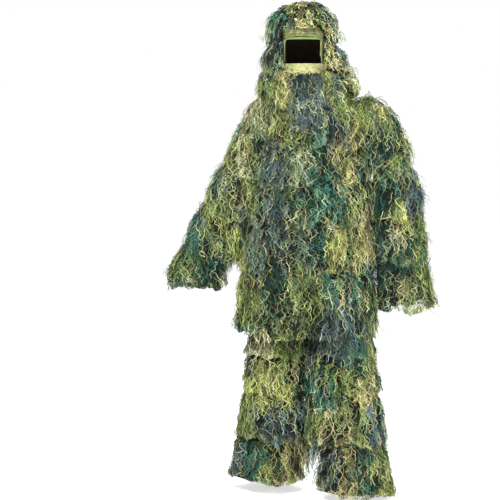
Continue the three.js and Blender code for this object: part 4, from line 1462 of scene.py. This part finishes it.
def turn_at(x):
    return math.asin(max(-1.0, min(1.0, x / HOOD_HALF_WIDTH)))


def spaced(marks, step):
    """Values from the first mark to the last, with every mark among them."""
    values = []
    for a, b in zip(marks, marks[1:]):
        count = max(1, round(abs(b - a) / step))
        values += [a + (b - a) * n / count for n in range(count)]
    return values + [marks[-1]]


left_turn, right_turn = turn_at(FACE_LEFT_X), turn_at(FACE_RIGHT_X)
turns = spaced([right_turn, left_turn, TAU + right_turn], 0.075)[:-1]
crown_heights = [HOOD_MID_Z + HOOD_RISE * share for share in (0.999, 0.94, 0.75)]
hood_rows = [
    [hood_point(h, t, 0.0009 * math.sin(31 * h + 6 * t) + 0.0007 * math.sin(13 * t) - 0.001) for t in turns]
    for h in spaced([*crown_heights, FACE_HIGH_Z, FACE_LOW_Z, HOOD_BOTTOM_Z], 0.009)
]


def outside_face(place):
    in_front = place.y < 0 and FACE_RIGHT_X - 0.002 < place.x < FACE_LEFT_X + 0.002
    return not (in_front and FACE_LOW_Z < place.z < FACE_HIGH_Z)


add_sheet("hood_cloth_dome", hood_rows, HOOD_CLOTH, ["hood_shell"], "hood", 0.0016, closed=True,
          keep=outside_face, inner=LINING)

# The brim: doubled cloth that stands out over the face, with its lower edge bound in green tape.
brim_low, brim_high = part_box("hood_brim")


def brim_point(share_x, share_out, offset=(0, 0, 0)):
    """share_out runs from the hood, at 0, out and down to the brim's edge, at 1."""
    x = brim_low.x + (brim_high.x - brim_low.x) * share_x
    middle = 2 * share_x - 1
    back_y = hood_point(1.772, turn_at(x)).y
    edge_y = -0.122 + 0.030 * middle * middle
    edge_z = 1.738 - 0.006 * middle * middle
    y = back_y + (edge_y - back_y) * share_out ** 0.7
    z = 1.770 + (edge_z - 1.770) * share_out ** 1.5 + 0.0035 * math.sin(math.pi * share_out)
    return Vector((x, y, z)) + Vector(offset)


BRIM_COLUMNS = 40
brim_rows = [
    [brim_point(across, out, (0, 0, 0.0007 * math.sin(0.9 * BRIM_COLUMNS * across + 12 * out)))
     for across in shares(BRIM_COLUMNS)]
    for out in shares(12)
]
add_sheet("brim_cloth", brim_rows, HOOD_CLOTH, ["hood_brim"], "hood", 0.0022,
          inside=(0, 0, 1.70))

TAPE_WIDTH, TAPE_THICKNESS = 0.0085, 0.0030


def add_tape(name, points, normals, node):
    piece = strip(name, points, normals, TAPE_WIDTH, TAPE_THICKNESS, BINDING)
    keep_piece(piece, [node], "hood")


edge_points = [brim_point(across, 1.0, (0, -0.001, -0.005)) for across in shares(BRIM_COLUMNS)]
add_tape("brim_tape", edge_points, [(0, -1, 0)] * len(edge_points), "brim_binding")
for n, out in enumerate((0.80, 0.93)):
    line = [brim_point(across, out, (0, -0.0014, 0.0012)) for across in shares(BRIM_COLUMNS)]
    stitch_row(f"brim_stitches_{n + 1}", line, (0, -0.7, 0.7), "hood")


def opening_line():
    """The green binding's middle, in x and z: up one side of the opening, over the top and down again."""
    low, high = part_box("opening_binding")
    half, corner = 0.0045, 0.014
    first_x, last_x, top = low.x + half, high.x - half, high.z - half
    side = [low.z + (top - corner - low.z) * share for share in shares(12)]
    bend = [(corner * (1 - math.cos(turn)), top - corner + corner * math.sin(turn))
            for turn in [math.pi / 2 * share for share in shares(6)[1:]]]
    points = [(first_x, z) for z in side]
    points += [(first_x + x, z) for x, z in bend]
    points += [(first_x + corner + (last_x - first_x - 2 * corner) * share, top) for share in shares(18)[1:]]
    points += [(last_x - x, z) for x, z in reversed(bend[:-1])]
    return points + [(last_x, z) for z in reversed(side)]


tape_points, tape_normals = [], []
for x, z in opening_line():
    turn = turn_at(x)
    tape_points.append(Vector((x, hood_point(z, turn, 0.0022).y, z)))
    tape_normals.append((math.sin(turn), -math.cos(turn), 0))
add_tape("opening_tape", tape_points, tape_normals, "opening_binding")

# The chin band, curved round the face, with a hollow lower edge and a row of stitching along each edge.
flap_low, flap_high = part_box("face_flap")


def flap_point(share_x, share_down, stand_out=0.0):
    x = flap_low.x + (flap_high.x - flap_low.x) * share_x
    middle = 2 * share_x - 1
    top = flap_high.z - 0.0025 * (1 - middle * middle)
    height = top + (flap_low.z + chin_arch(x) - top) * share_down
    swell = 0.0020 * math.sin(math.pi * share_down) + 0.0007 * math.sin(23 * share_x + 9 * share_down)
    return Vector((x, hood_point(1.62, turn_at(x), 0.0045 + swell).y - stand_out, height))


flap_rows = [[flap_point(across, down) for across in shares(48)] for down in shares(14)]
add_sheet("chin_band_cloth", flap_rows, BAND_CLOTH, ["face_flap"], "face_flap", 0.0020,
          inside=(0, 0.02, 1.61))
for label, down in (("upper", 0.10), ("lower", 0.90)):
    line = [flap_point(across, down, 0.0013) for across in shares(48)]
    stitch_row(f"chin_stitches_{label}", line, (0, -1, 0), "face_flap")


def backing_point(down, j):
    """The bib's backing: cloth sewn inside the chin band, which the bib's threads hang from."""
    x = 0.003 + (0.042 - 0.006 * down) * (j / 15 - 1)
    back_y = hood_point(1.62, turn_at(x), 0.0032).y
    hang = min(1.0, down * 1.6) ** 0.8
    return Vector((x, back_y + (-0.150 - back_y) * hang + 0.0008 * math.sin(1.9 * j), 1.614 - 0.105 * down))


backing_rows = [[backing_point(down, j) for j in range(31)] for down in shares(12)]
add_sheet("bib_backing_cloth", backing_rows, BAND_CLOTH, [], "face_flap",
          inside=(0, 0.02, 1.56))
snap("chin_press_stud", "flap_snap", "hood", (0.45, -1, 0))


# ---------------------------------------------------------------- the floor

bpy.ops.mesh.primitive_plane_add(size=60, location=(0, 0, -0.001))
floor = bpy.context.object
floor.name = "floor"
floor.data.materials.append(FLOOR)
